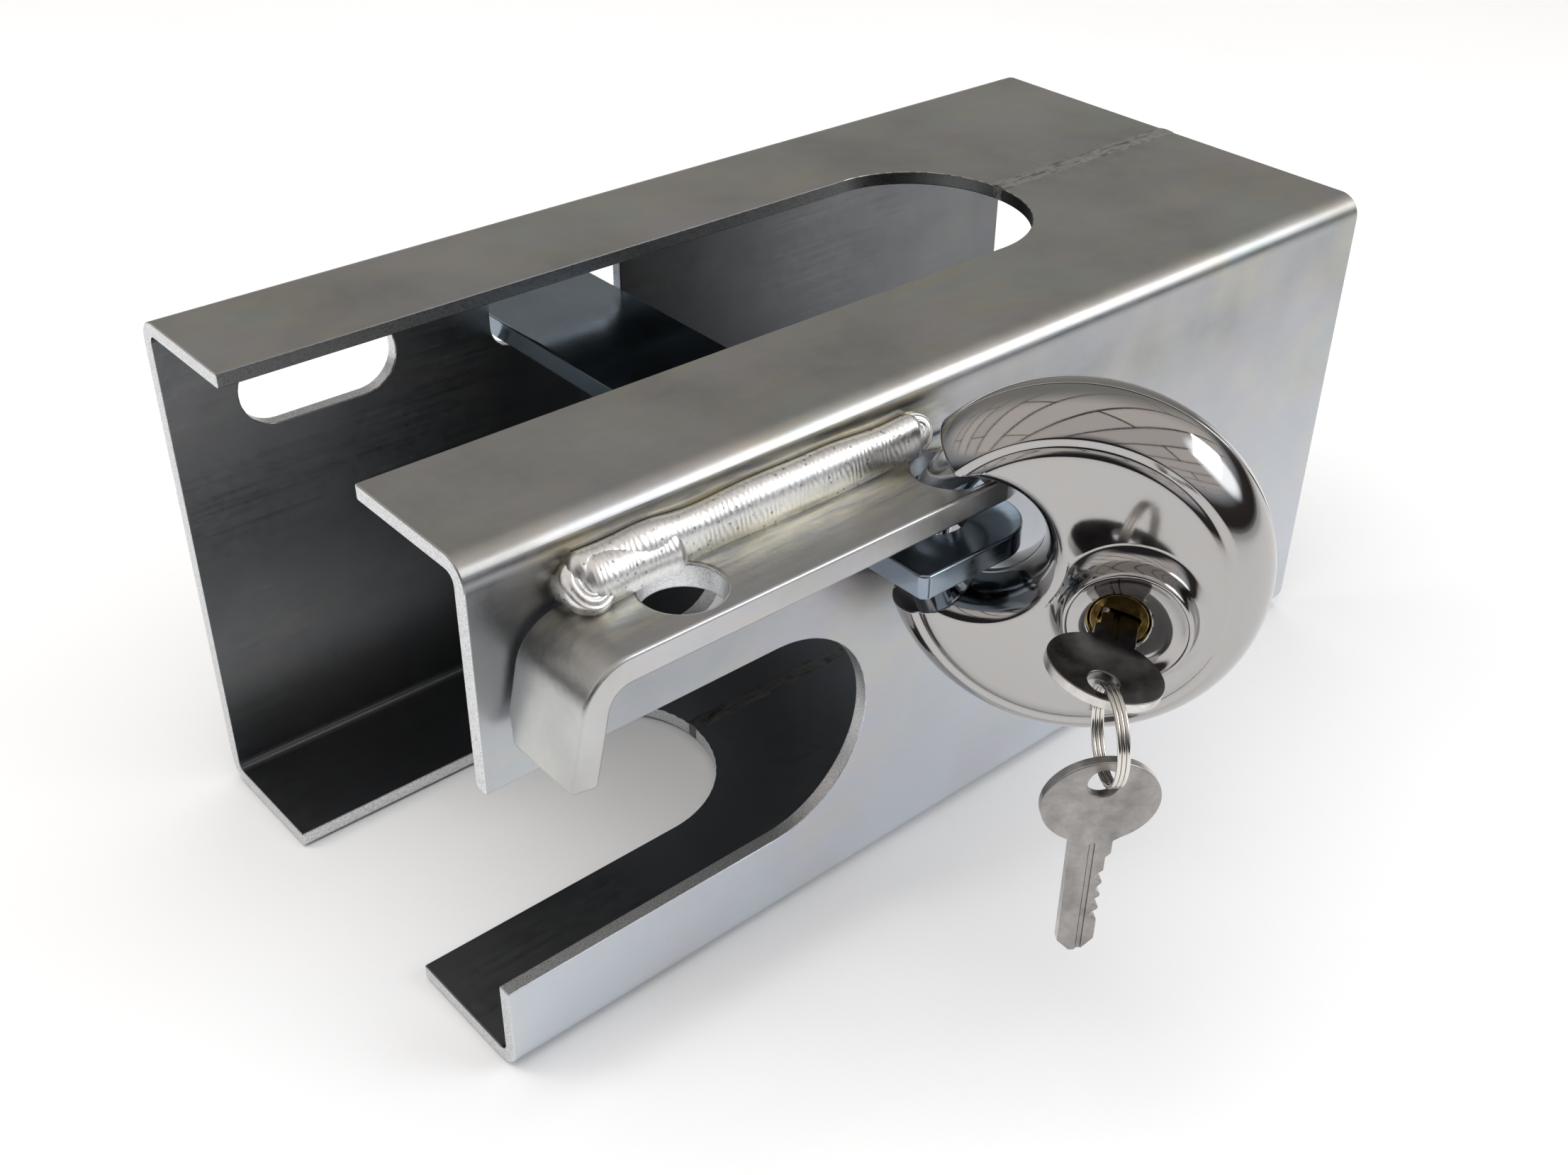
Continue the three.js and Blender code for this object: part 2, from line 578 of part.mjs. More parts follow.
const padlockGroup = new THREE.Group();
padlockGroup.position.set(...padlock.centre);
padlockGroup.rotation.z = rad(padlock.yaw);
design.add(padlockGroup);
padlockGroup.add(meshOf('padlock_front_shell', bodyHalf(true), materials.stainless));
padlockGroup.add(meshOf('padlock_back_shell', bodyHalf(false), materials.stainless));
padlockGroup.add(meshOf('core_carrier', coreCarrier(), materials.zincCast));
padlockGroup.add(meshOf('anti_drill_ring', antiDrillRing(), materials.hardened));
padlockGroup.add(meshOf('shackle', shackle(), materials.hardened));
const detentBall = new THREE.SphereGeometry(detent.ball, 10, 6);
detentBall.translate(0, 0, detent.ballUp);
padlockGroup.add(meshOf('detent_ball', solid(detentBall), materials.hardened));
padlockGroup.add(meshOf('detent_spring', detentSpring(), materials.spring));

// The barrel, plug, pins and springs share the plug's axis.
const cylinderGroup = new THREE.Group();
cylinderGroup.position.set(plug.axis[0], 0, plug.axis[1]);
cylinderGroup.rotation.y = rad(plug.keyTilt);
padlockGroup.add(cylinderGroup);
cylinderGroup.add(meshOf('cylinder_barrel', cylinderBarrel(), materials.brass));
cylinderGroup.add(meshOf('cylinder_plug', cylinderPlug(), materials.brass));
cylinderGroup.add(meshOf('plug_clip', plugClip(), materials.spring));
pinDepths.forEach((depth, i) => {
  const keyPin = peg(pins.radius, ...pins.keyPin, depth);
  const driverPin = peg(pins.radius, ...pins.driverPin, depth);
  cylinderGroup.add(meshOf(`key_pin_${i + 1}`, keyPin, materials.brass));
  cylinderGroup.add(meshOf(`driver_pin_${i + 1}`, driverPin, materials.brass));
  cylinderGroup.add(meshOf(`pin_spring_${i + 1}`, pinSpring(depth), materials.spring));
});
const crankGroup = new THREE.Group();
crankGroup.position.copy(cylinderGroup.position);
crankGroup.rotation.y = -rad(centreBearing - shackleArc.travel);
padlockGroup.add(crankGroup);
crankGroup.add(meshOf('drive_crank', driveCrank(), materials.hardened));
crankGroup.add(meshOf('crank_screw', crankScrew(), materials.spring));

// Key 1 stands in the plug, tilted with it. The ring and key 2 hang straight down from its bow.
const keyOut = plug.front - key.reach + key.bladeLength;       // depth of the shoulder
const toDepth = new THREE.Matrix4().makeBasis(
  new THREE.Vector3(1, 0, 0), new THREE.Vector3(0, -1, 0), new THREE.Vector3(0, 0, -1));
const keyOne = meshOf('key_1', keyBlank(), materials.nickel);
keyOne.geometry.applyMatrix4(toDepth);
keyOne.position.y = -keyOut;
cylinderGroup.add(keyOne);

const hangGroup = new THREE.Group();
hangGroup.position.copy(cylinderGroup.position);
padlockGroup.add(hangGroup);
const ringHang = Math.sqrt(ring.radius ** 2 - ring.lean ** 2);
const ringMesh = meshOf('split_ring', splitRing(), materials.nickel);
const holeDepth = keyOut + key.bowLength - key.holeFromEnd;
const ringYaw = rad(ring.yaw);
const tilt = rad(plug.keyTilt);
const holeRight = key.bowShift * Math.cos(tilt);
const holeUp = -key.bowShift * Math.sin(tilt);
ringMesh.rotation.z = ringYaw;
ringMesh.position.set(holeRight + ring.lean * Math.sin(ringYaw),
  -(holeDepth + ring.lean * Math.cos(ringYaw)), holeUp - ringHang);
hangGroup.add(ringMesh);

const keyTwo = meshOf('key_2', keyBlank(), materials.nickel);
keyTwo.geometry.applyMatrix4(new THREE.Matrix4().makeBasis(
  new THREE.Vector3(-1, 0, 0), new THREE.Vector3(0, 0, 1), new THREE.Vector3(0, 1, 0)));
const ringBottom = ringMesh.position.z - ring.radius;
keyTwo.rotation.z = ringYaw;
keyTwo.position.set(ringMesh.position.x + key.bowShift * Math.cos(ringYaw),
  ringMesh.position.y + key.bowShift * Math.sin(ringYaw),
  ringBottom - (key.bowLength - key.holeFromEnd) - 1.2);
hangGroup.add(keyTwo);

export default couplerLock;
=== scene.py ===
"""The looks of the trailer coupler lock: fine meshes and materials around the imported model.

Shapes are built in millimetres in the part's design frame, whose x = 0 is the open front end of
the box, or in the padlock's own axes: X to the right of its face, -Y out of its face, Z up. They
are brought to metres in the row frame when they are installed.
"""

import json
import math
import random

import bmesh
import bpy
from mathutils import Matrix, Vector


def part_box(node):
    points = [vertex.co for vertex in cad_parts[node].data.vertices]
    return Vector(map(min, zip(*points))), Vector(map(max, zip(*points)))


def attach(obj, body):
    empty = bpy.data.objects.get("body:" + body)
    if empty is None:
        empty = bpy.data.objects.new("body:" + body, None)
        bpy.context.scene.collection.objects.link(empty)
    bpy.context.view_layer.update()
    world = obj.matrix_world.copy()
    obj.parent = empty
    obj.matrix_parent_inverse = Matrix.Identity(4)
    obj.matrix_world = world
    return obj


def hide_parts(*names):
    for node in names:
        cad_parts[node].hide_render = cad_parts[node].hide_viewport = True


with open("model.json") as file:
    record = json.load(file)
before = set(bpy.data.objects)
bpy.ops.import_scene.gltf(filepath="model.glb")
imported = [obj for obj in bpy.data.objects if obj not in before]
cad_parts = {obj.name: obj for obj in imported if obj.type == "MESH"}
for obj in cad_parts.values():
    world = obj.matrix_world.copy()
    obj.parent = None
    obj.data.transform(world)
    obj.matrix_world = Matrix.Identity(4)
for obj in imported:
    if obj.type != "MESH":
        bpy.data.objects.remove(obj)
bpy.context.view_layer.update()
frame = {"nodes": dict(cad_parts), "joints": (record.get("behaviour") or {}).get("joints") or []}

MM = 0.001
UP = Vector((0, 0, 1))
JOINTS = {joint["name"]: joint for joint in frame["joints"]}

# ---- sizes read from the frame


def box_mm(node):
    """Lowest and highest corner of a CAD node, in millimetres of the row frame."""
    low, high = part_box(node)
    return low / MM, high / MM


shell_low, shell_high = box_mm("left_half_shell")
guard_low, guard_high = box_mm("guard_bar")
bar_low, bar_high = box_mm("locking_bar")
bead_low, bead_high = box_mm("guard_bar_weld_upper")
under_low, under_high = box_mm("guard_bar_weld_lower")

FRONT = shell_low.x                        # row x of the design frame's x = 0
LENGTH = shell_high.x - shell_low.x
HEIGHT = round(shell_high.z, 3)
WALL = shell_high.y                        # half the outside width
SHEET = 3.0
BEND = 5.0                                 # outside radius of the folds
SEAM = shell_low.y                         # half the gap between the two folded halves
NECK = 24.0                                # half width of both necks
SAG = 0.03                                 # depth of a neck's round end across the seam weld
TOP_NECK_END = box_mm("top_seam_weld")[0].x - FRONT + SAG
BOTTOM_NECK_END = box_mm("bottom_seam_weld")[0].x - FRONT + SAG
BAR_SLOT = {"length": 34.4, "low": 81.0, "high": 97.0,     # then each slot's middle and corner
            "front": (32.0, 7.9), "rear": (89.3, 5.5)}
HAND_SLOT = {"low": 20.0, "high": 66.0, "end": 84.5}

GUARD = {"bend": 9.5, "thickness": 5.2, "lean": 12.5, "front_at_top": 8.3, "hole": 7.1,
         "holes": ((33.0, -64.7), (92.5, -65.5)), "leg_gap": 0.9, "corner": 9.0}
BAR = {"corner": 9.0, "hole": (90.0, -63.0), "hole_radius": 7.0, "near_chamfer": 1.2, "far_chamfer": 2.0}
SEAM_BEAD = {"half_width": 2.1, "lift": 0.24}
BEAD = {"spacing": 0.16, "around": 26, "taper": 0.55, "swell": 0.25, "crescent": 1.5, "bulge": 0.20,
        "root": 0.15}
CRATER = {"height": 1.7, "ripple": 0.13, "dimple": 0.9, "root": 1.2}

PADLOCK = {"radius": 35.0, "rim": 12.0, "depth": 11.0, "face": 26.0, "wall": 1.2, "seam": 0.15}
BAY = {"centre": (-17.0, 5.8), "waist": 11.2, "mouth": 16.2, "upper": 138.0, "lower": 200.0}
BOSS = {"centre": (10.7, -2.9), "foot": 13.8, "rim": 11.2, "depth": 15.9, "dish": 14.2}
BARREL = {"radius": 8.2, "nose": 7.0, "front": 9.4, "nose_front": 12.7, "bore": 5.5, "end": 11.0}
PLUG = {"radius": 5.2, "front": 13.6, "back": -4.2, "tail": 2.4, "tail_back": -6.4, "tilt": 13.0}
PINS = {"count": 4, "first": 7.0, "pitch": -3.0, "hole": 1.45}
SHACKLE = {"radius": 27.4, "rod": 4.5, "tip": 130.0, "travel": 77.0}
LUG = {"plate": ((13.2, 27), (-4.2, 4.2), (-8.6, -6.6)),   # each its reach to the right, up and out
       "riser": ((23.4, 26.6), (-3.2, 3.2), (-8.6, 0)),
       "slot": ((12, 20.9), (-1.8, 1.8), (-10, -6))}
KEY = {"blade": 25.6, "width": 6.6, "thickness": 2.0, "bow_width": 20.6, "bow_length": 17.4,
       "hole": 2.8, "hole_from_end": 4.9, "reach": 17.8, "bow_shift": -1.2}
RING = {"radius": 8.3, "lean": 6.9, "yaw": 20.0, "turns": 3, "wire": 0.37, "pitch": 0.74}
GAP = 0.3                                  # clearance round the plug and round the key's blade

# ---- frames of reference

TO_METRES = Matrix.Scale(MM, 4)
DESIGN = TO_METRES @ Matrix.Translation((FRONT, 0, 0))


def face_frame(joint):
    """Millimetre axes at a padlock joint: X right along the face, -Y out of it, Z up."""
    out = Vector(joint["axis"]).normalized()
    right = UP.cross(out)
    place = Matrix((right, -out, UP)).transposed().to_4x4()
    place.translation = Vector(joint["pos_m"]) / MM
    return TO_METRES @ place


PADLOCK_FRAME = face_frame(JOINTS["shackle_turn"])
PLUG_FRAME = face_frame(JOINTS["plug_turn"])
plug_from_padlock = (PADLOCK_FRAME.inverted() @ PLUG_FRAME).translation
PLUG_AXIS = (plug_from_padlock.x, plug_from_padlock.z)
CYLINDER_FRAME = PLUG_FRAME @ Matrix.Rotation(math.radians(PLUG["tilt"]), 4, "Y")


# ---- materials


class Nodes:
    """A node tree being built; a value is a number, a colour, a vector or another node's output."""

    def __init__(self, tree):
        self.tree = tree

    def put(self, slot, value):
        if isinstance(value, bpy.types.NodeSocket):
            self.tree.links.new(value, slot)
        else:
            slot.default_value = (*value, 1.0) if slot.type == "RGBA" else value

    def node(self, kind, inputs=None, **settings):
        made = self.tree.nodes.new("ShaderNode" + kind)
        for key, value in settings.items():
            setattr(made, key, value)
        for key, value in (inputs or {}).items():
            self.put(made.inputs[key], value)
        return made

    def maths(self, operation, first, second):
        return self.node("Math", {0: first, 1: second}, operation=operation).outputs["Value"]

    def spread(self, value, low, high, new_low=0.0, new_high=1.0, **settings):
        """Stretches what lies from low to high over the range from new_low to new_high."""
        return self.node("MapRange", {"Value": value, "From Min": low, "From Max": high,
                                      "To Min": new_low, "To Max": new_high}, **settings).outputs["Result"]

    def ramp(self, value, stops):
        ramp = self.node("ValToRGB", {"Fac": value})
        elements = ramp.color_ramp.elements
        while len(elements) < len(stops):
            elements.new(0.5)
        for element, (at, colour) in zip(elements, stops):
            element.position = at
            element.color = (*colour, 1.0)
        return ramp.outputs["Color"]

    def blend(self, value, first, second):
        return self.node("Mix", {0: value, 6: first, 7: second}, data_type="RGBA").outputs[2]


class Finish(Nodes):
    """A metal finish: one material whose colour, roughness and relief come from nodes."""

    def __init__(self, name, roughness=0.3, metallic=1.0):
        self.material = bpy.data.materials.new(name)
        self.material.use_nodes = True
        super().__init__(self.material.node_tree)
        self.shader = self.tree.nodes["Principled BSDF"].inputs
        self.put(self.shader["Metallic"], metallic)
        self.put(self.shader["Roughness"], roughness)
        self.place = self.node("TexCoord").outputs["Object"]

    def grain(self, size, detail=4.0, stretch=(1, 1, 1), rough=0.55, turn=(0, 0, 0)):
        """Noise whose features are about size millimetres across, drawn out by stretch."""
        mapping = self.node("Mapping", {"Vector": self.place, "Scale": [1 / (MM * size * s) for s in stretch],
                                        "Rotation": [math.radians(a) for a in turn]})
        return self.node("TexNoise", {"Vector": mapping.outputs["Vector"], "Scale": 1.0, "Detail": detail,
                                      "Roughness": rough}).outputs["Fac"]

    def cells(self, size):
        """Distance to the nearest of many scattered points, for pits."""
        mapping = self.node("Mapping", {"Vector": self.place, "Scale": [1 / (MM * size)] * 3})
        return self.node("TexVoronoi", {"Vector": mapping.outputs["Vector"], "Scale": 1.0,
                                        "Randomness": 1.0}).outputs["Distance"]

    def along(self, axis, start, end):
        """A value that climbs from 0 to 1 between two places on an axis, in row millimetres."""
        place = self.node("SeparateXYZ", {"Vector": self.place}).outputs[axis]
        return self.spread(place, start * MM, end * MM)

    def product(self, first, *others):
        for other in others:
            first = self.maths("MULTIPLY", first, other)
        return first

    def average(self, first, second):
        return self.maths("MULTIPLY", self.maths("ADD", first, second), 0.5)

    def colour(self, source):
        self.put(self.shader["Base Color"], source)

    def roughness(self, value, low, high):
        self.put(self.shader["Roughness"], self.spread(value, 0.3, 0.7, low, high))

    def relief(self, *layers):
        """Bumps stacked on each other: (height source, height in millimetres)."""
        below = {}
        for height, depth in layers:
            bump = self.node("Bump", {"Distance": depth * MM, "Height": height, **below})
            below = {"Normal": bump.outputs["Normal"]}
        self.put(self.shader["Normal"], below["Normal"])


PASSIVATION = [(0.36, (0.50, 0.52, 0.60)), (0.45, (0.60, 0.52, 0.54)), (0.52, (0.62, 0.58, 0.42)),
               (0.60, (0.46, 0.56, 0.55)), (0.68, (0.56, 0.50, 0.58))]
OXIDE = [(0.36, (0.10, 0.10, 0.105)), (0.5, (0.24, 0.22, 0.17)), (0.66, (0.36, 0.31, 0.20))]


def shaded(colour, *factors):
    """A colour in several strengths, none of them past white."""
    return [tuple(min(1.0, c * factor) for c in colour) for factor in factors]


def zinc(name, base, tint, seam_marks=False, heat=None, gloss=(0.26, 0.42), grit=0.004, low=None):
    """Zinc-plated rolled steel: cloudy grey, faint rolling lines and passivation tints.

    heat names the axis on which the metal goes from untouched to straw and dark beside a weld,
    grit is the height of the fine grain, and low is a colour blended in towards the bottom as
    painted light and shade.
    """
    finish = Finish(name)
    clouds = finish.grain(26, 5)
    mottle = finish.grain(2.4, 6, rough=0.7)
    lines = finish.grain(0.5, 3, stretch=(60, 1.2, 1.2), rough=0.6)
    darker, lighter = shaded(base, 0.82, 1.12)
    grey = finish.ramp(clouds, [(0.32, darker), (0.5, base), (0.68, lighter)])
    grey = finish.blend(finish.spread(mottle, 0.35, 0.65, 0.0, 0.18), grey, lighter)
    # painted light and shade: from z = 95 down to z = 5 the colour turns to low
    if low:
        grey = finish.blend(finish.along("Z", 95.0, 5.0), grey, low)
    rainbow = finish.ramp(finish.grain(17, 3, stretch=(2.5, 1, 1)), PASSIVATION)
    tinted = finish.blend(finish.spread(finish.grain(32, 2), 0.42, 0.62, 0.0, tint), grey, rainbow)
    if seam_marks:
        left = finish.along("Y", -9.0, -3.0)
        right = finish.along("Y", 9.0, 3.0)
        neck_end = TOP_NECK_END + FRONT
        rear = finish.along("X", neck_end - 4, neck_end + 2)
        smear = finish.spread(finish.grain(5, 5, stretch=(1, 2.4, 1), turn=(0, 0, 30)), 0.4, 0.7, 0.0, 0.5)
        tinted = finish.blend(finish.product(left, right, rear, smear), tinted, (0.30, 0.30, 0.30))
    if heat:
        beside = finish.along(*heat)
        from_front = finish.along("X", bead_low.x - 9, bead_low.x + 3)
        from_rear = finish.along("X", bead_high.x + 12, bead_high.x)
        uneven = finish.spread(finish.grain(6, 4, stretch=(3, 1, 1)), 0.3, 0.7, 0.55, 1.0)
        oxide = finish.ramp(finish.grain(1.6, 4, stretch=(8, 1, 1)), OXIDE)
        tinted = finish.blend(finish.product(from_front, from_rear, beside, uneven), tinted, oxide)
    finish.colour(tinted)
    finish.roughness(finish.average(mottle, lines), *gloss)
    finish.relief((lines, 0.003), (finish.grain(1.1, 4), grit), (clouds, 0.06))
    return finish.material


def cut_edge(name, shade=1.0):
    """A cut edge of the sheet: a fine speckle, bright unless shade darkens it."""
    finish = Finish(name)
    speckle = finish.grain(0.35, 4, rough=0.8)
    # shade darkens both colours, a painted shade
    dark, = shaded((0.42, 0.43, 0.44), shade)
    light, = shaded((0.78, 0.79, 0.80), shade)
    finish.colour(finish.ramp(speckle, [(0.34, dark), (0.56, light)]))
    finish.roughness(speckle, 0.24, 0.5)
    finish.relief((speckle, 0.05))
    return finish.material


def weld_metal():
    """Bright cast surface of a weld under zinc, with fine ripples and darker pits."""
    finish = Finish("weld_metal")
    ripple = finish.grain(0.7, 5, stretch=(0.7, 1.6, 1.6), rough=0.65)
    pits = finish.spread(finish.cells(1.6), 0.10, 0.22, 0.0, 1.0)
    silver = finish.ramp(ripple, [(0.32, (0.78, 0.775, 0.76)), (0.6, (0.95, 0.95, 0.94))])
    finish.colour(finish.blend(pits, (0.40, 0.40, 0.40), silver))
    finish.roughness(ripple, 0.28, 0.40)
    finish.relief((ripple, 0.016), (pits, 0.01))
    return finish.material


def ground_weld(name, shade=1.0):
    """The seam weld ground flat: crossed grinding marks, with dark specks left in the joint."""
    finish = Finish(name)
    marks = finish.grain(0.4, 3, stretch=(1, 14, 1), turn=(0, 0, 22))
    specks = finish.spread(finish.grain(1.8, 3, stretch=(2.6, 0.6, 1)), 0.50, 0.68, 0.0, 0.85)
    # shade darkens every colour, a painted shade for a seam inside the box
    dark, speck = shaded((0.44, 0.43, 0.41), shade, 0.3 * shade)
    light, = shaded((0.60, 0.59, 0.57), shade)
    silver = finish.ramp(marks, [(0.35, dark), (0.65, light)])
    finish.colour(finish.blend(specks, silver, speck))
    finish.roughness(marks, 0.28, 0.46)
    finish.relief((marks, 0.03), (specks, 0.05))
    return finish.material


def polished(name, base, haze=0.03, warmth=0.0):
    """Mirror-polished metal: almost no texture, with a soft haze and the finest hairlines."""
    finish = Finish(name)
    haze_map = finish.grain(9, 4)
    hair = finish.grain(0.25, 2, stretch=(30, 1, 1), turn=(0, 20, 35))
    warm = (base[0], base[1] * (1 - warmth), base[2] * (1 - 2 * warmth))
    finish.colour(finish.ramp(haze_map, [(0.35, base), (0.68, warm)]))
    finish.roughness(finish.average(haze_map, hair), haze, haze + 0.05)
    finish.relief((finish.grain(14, 2), 0.03), (hair, 0.0006))
    return finish.material


def brass():
    """Machined lock brass: turning lines, a little tarnish."""
    finish = Finish("lock_brass")
    tarnish = finish.grain(3.2, 5, rough=0.65)
    finish.colour(finish.ramp(tarnish, [(0.34, (0.10, 0.06, 0.02)), (0.5, (0.34, 0.23, 0.07)),
                                        (0.68, (0.66, 0.48, 0.17))]))
    finish.roughness(tarnish, 0.22, 0.10)
    finish.relief((tarnish, 0.05), (finish.grain(0.22, 3, stretch=(5, 1, 1)), 0.004))
    return finish.material


def key_nickel(name, base, gloss):
    """Nickel on a key: satin face with fine scratches, pocket wear and small pits."""
    finish = Finish(name)
    cloud = finish.grain(4.5, 5, rough=0.6)
    pits = finish.spread(finish.cells(0.9), 0.05, 0.16, 0.0, 1.0)
    dark, light = shaded(base, 0.75, 1.3)
    metal = finish.ramp(cloud, [(0.34, dark), (0.5, base), (0.7, light)])
    finish.colour(finish.blend(pits, dark, metal))
    finish.roughness(cloud, *gloss)
    scratches = finish.grain(0.16, 2, stretch=(26, 1, 1), turn=(20, 35, 50))
    finish.relief((scratches, 0.012), (pits, 0.02))
    return finish.material


def steel(name, base, gloss):
    """Plain worked steel for the pieces inside the lock."""
    finish = Finish(name)
    cloud = finish.grain(2.2, 5, rough=0.6)
    finish.colour(finish.ramp(cloud, [(0.35, *shaded(base, 0.8)), (0.65, base)]))
    finish.roughness(cloud, *gloss)
    finish.relief((finish.grain(0.3, 3, stretch=(4, 1, 1)), 0.01))
    return finish.material


SHEET_ZINC = zinc("galvanised_sheet", (0.450, 0.442, 0.425), 0.30, seam_marks=True)
# The right half's outside wall: a darker, bluer zinc with painted light that grows much lighter and bluer
# towards the bottom, and real heat tint beside the weld.
WALL_ZINC_PAINTED_LIGHT = zinc("galvanised_wall_painted_light", (0.330, 0.340, 0.355), 0.30, heat=("Z", 97, 103.5),
                 low=(0.640, 0.675, 0.730))
# The inside faces: the same zinc painted far darker as shade, and a little lighter towards the bottom.
INNER_ZINC_PAINTED_SHADE = zinc("galvanised_inside_painted_shade", (0.140, 0.147, 0.155), 0.06, low=(0.165, 0.173, 0.182))
BAR_ZINC = zinc("galvanised_bar", (0.500, 0.505, 0.500), 0.30, heat=("Y", -75.0, -61.0),
                gloss=(0.28, 0.40), grit=0.03)
BLUE_ZINC = zinc("blue_zinc_bar", (0.250, 0.310, 0.370), 0.08, gloss=(0.12, 0.24))
EDGE = cut_edge("sheared_edge")
# The top neck's cut edges: the sheared edge at 0.30 of its brightness, a painted shade.
EDGE_PAINTED_SHADE = cut_edge("edge_painted_shade", 0.30)
WELD = weld_metal()
GROUND = ground_weld("ground_weld")
# The bottom seam inside the box: the ground weld at 0.36 of its brightness, a painted shade.
INNER_GROUND_PAINTED_SHADE = ground_weld("ground_weld_inside_painted_shade", 0.36)
STAINLESS = polished("polished_stainless", (0.42, 0.412, 0.408), 0.05, 0.015)
CHROME = polished("hardened_chrome", (0.84, 0.87, 0.92), 0.05)
BRIGHT_NICKEL = polished("bright_nickel", (0.70, 0.68, 0.65), 0.10, 0.02)
BRASS = brass()
KEY_DARK = key_nickel("key_nickel_bright", (0.17, 0.165, 0.165), (0.16, 0.28))
KEY_EDGE = key_nickel("key_nickel_edge", (0.62, 0.60, 0.58), (0.26, 0.42))
KEY_LIGHT = key_nickel("key_nickel_satin", (0.31, 0.295, 0.285), (0.30, 0.44))
HARDENED = steel("hardened_steel", (0.46, 0.47, 0.49), (0.25, 0.38))
SPRING = steel("spring_steel", (0.66, 0.67, 0.70), (0.15, 0.28))
CASTING = steel("zinc_casting", (0.50, 0.51, 0.52), (0.40, 0.55))

# ---- mesh tools

SMALLEST = 0.01                            # points closer than this are one point
SHARP, WELD_SHARP = 50, 60                 # edges sharper than this stay crisp, in degrees
SLACK = 0.5                                # how far a face may lie from its surface's nominal place
THROUGH = 3.0                              # how far a cutter goes past the sheet it cuts
PLACES = {                                 # which way an outline's u, v and its depth w point
    "plan": Matrix(((1, 0, 0), (0, 1, 0), (0, 0, 1))),
    "side": Matrix(((1, 0, 0), (0, 0, -1), (0, 1, 0))),
    "section": Matrix(((0, 0, 1), (1, 0, 0), (0, 1, 0))),
}


def add_object(name, data):
    made = bpy.data.objects.new(name, data)
    bpy.context.scene.collection.objects.link(made)
    return made


def make(name, points, faces, material):
    """A closed mesh with its faces turned outwards."""
    mesh = bpy.data.meshes.new(name)
    mesh.from_pydata([tuple(p) for p in points], [], faces)
    work = bmesh.new()
    work.from_mesh(mesh)
    bmesh.ops.recalc_face_normals(work, faces=work.faces)
    work.to_mesh(mesh)
    work.free()
    mesh.materials.append(material)
    return add_object(name, mesh)


def skin(rows, row, closed=False):
    """The faces between rows of points that each go round once, and the caps of both ends."""
    sides = [(i * row + k, i * row + (k + 1) % row, (i + 1) % rows * row + (k + 1) % row,
              (i + 1) % rows * row + k) for i in range(rows if closed else rows - 1) for k in range(row)]
    return sides, [tuple(range(row)), tuple(range((rows - 1) * row, rows * row))]


def arc(u, v, radius, start, end, steps):
    """Points on a round stretch, from one bearing to another, in degrees."""
    bearings = [math.radians(start + (end - start) * i / steps) for i in range(steps + 1)]
    return [(u + radius * math.cos(a), v + radius * math.sin(a)) for a in bearings]


def rounded(u0, v0, u1, v1, corner, steps=10):
    return (arc(u1 - corner, v0 + corner, corner, -90, 0, steps)
            + arc(u1 - corner, v1 - corner, corner, 0, 90, steps)
            + arc(u0 + corner, v1 - corner, corner, 90, 180, steps)
            + arc(u0 + corner, v0 + corner, corner, 180, 270, steps))


def slot_outline(end, low, high):
    """An opening that starts in front of the box and has a round inner end."""
    radius = (high - low) / 2
    ahead = -2 * THROUGH
    return [(ahead, low), *arc(end - radius, low + radius, radius, -90, 90, 56), (ahead, high)]


def circle(u, v, radius, steps=64):
    return arc(u, v, radius, 0, 360, steps)[:-1]


def smooth_line(points, steps=8):
    """A Catmull-Rom curve through a few points."""
    spread = [points[0], *points, points[-1]]
    line = []
    for before, here, after, beyond in zip(spread, spread[1:], spread[2:], spread[3:]):
        for i in range(steps):
            t = i / steps
            weights = (-t + 2 * t**2 - t**3, 2 - 5 * t**2 + 3 * t**3,
                       t + 4 * t**2 - 3 * t**3, -(t**2) + t**3)
            corners = (before, here, after, beyond)
            line.append(tuple(sum(w * c[k] for w, c in zip(weights, corners)) / 2
                              for k in range(len(here))))
    return [*line, tuple(points[-1])]


def prism(name, outline, start, end, place="plan", material=None):
    """A flat outline drawn out from w = start to w = end."""
    turn = PLACES[place]
    points = [turn @ Vector((u, v, w)) for w in (start, end) for u, v in outline]
    sides, caps = skin(2, len(outline))
    return make(name, points, caps + sides, material or EDGE)


def lathe(name, profile, steps=96, centre=(0, 0), material=None):
    """A solid turned about the padlock's face normal; profile points are (radius, depth).

    A profile that starts and ends on the axis makes a full body, and any other one a ring.
    """
    rings = [(radius, depth) for radius, depth in profile if radius > 0]
    points = [(centre[0] + radius * math.cos(a), -depth, centre[1] + radius * math.sin(a))
              for radius, depth in rings for a in (2 * math.pi * i / steps for i in range(steps))]
    is_ring = len(rings) == len(profile)
    sides, caps = skin(len(rings), steps, is_ring)
    return make(name, points, sides if is_ring else [caps[0], *sides, caps[1]], material or STAINLESS)


def sweep(name, path, radius, sides=16, material=None, closed=False):
    """A rod along a path of points, which is a loop if closed."""
    path = [Vector(p) for p in path]
    count = len(path)
    points = []
    normal = None
    for i, here in enumerate(path):
        ahead = path[(i + 1) % count] if closed else path[min(i + 1, count - 1)]
        behind = path[i - 1] if closed or i else path[0]
        tangent = (ahead - behind).normalized()
        if normal is None:
            normal = tangent.orthogonal()
        normal = (normal - tangent * normal.dot(tangent)).normalized()
        other = tangent.cross(normal)
        for k in range(sides):
            a = 2 * math.pi * k / sides
            points.append(here + (normal * math.cos(a) + other * math.sin(a)) * radius)
    around, caps = skin(count, sides, closed)
    return make(name, points, around if closed else around + caps, material or CHROME)


def slab_between(name, right, up, depth, material=None):
    """A block in the padlock's axes, from least to greatest right, up and depth."""
    corners = [(right[0], up[0]), (right[1], up[0]), (right[1], up[1]), (right[0], up[1])]
    return prism(name, corners, depth[0], depth[1], "side", material or HARDENED)


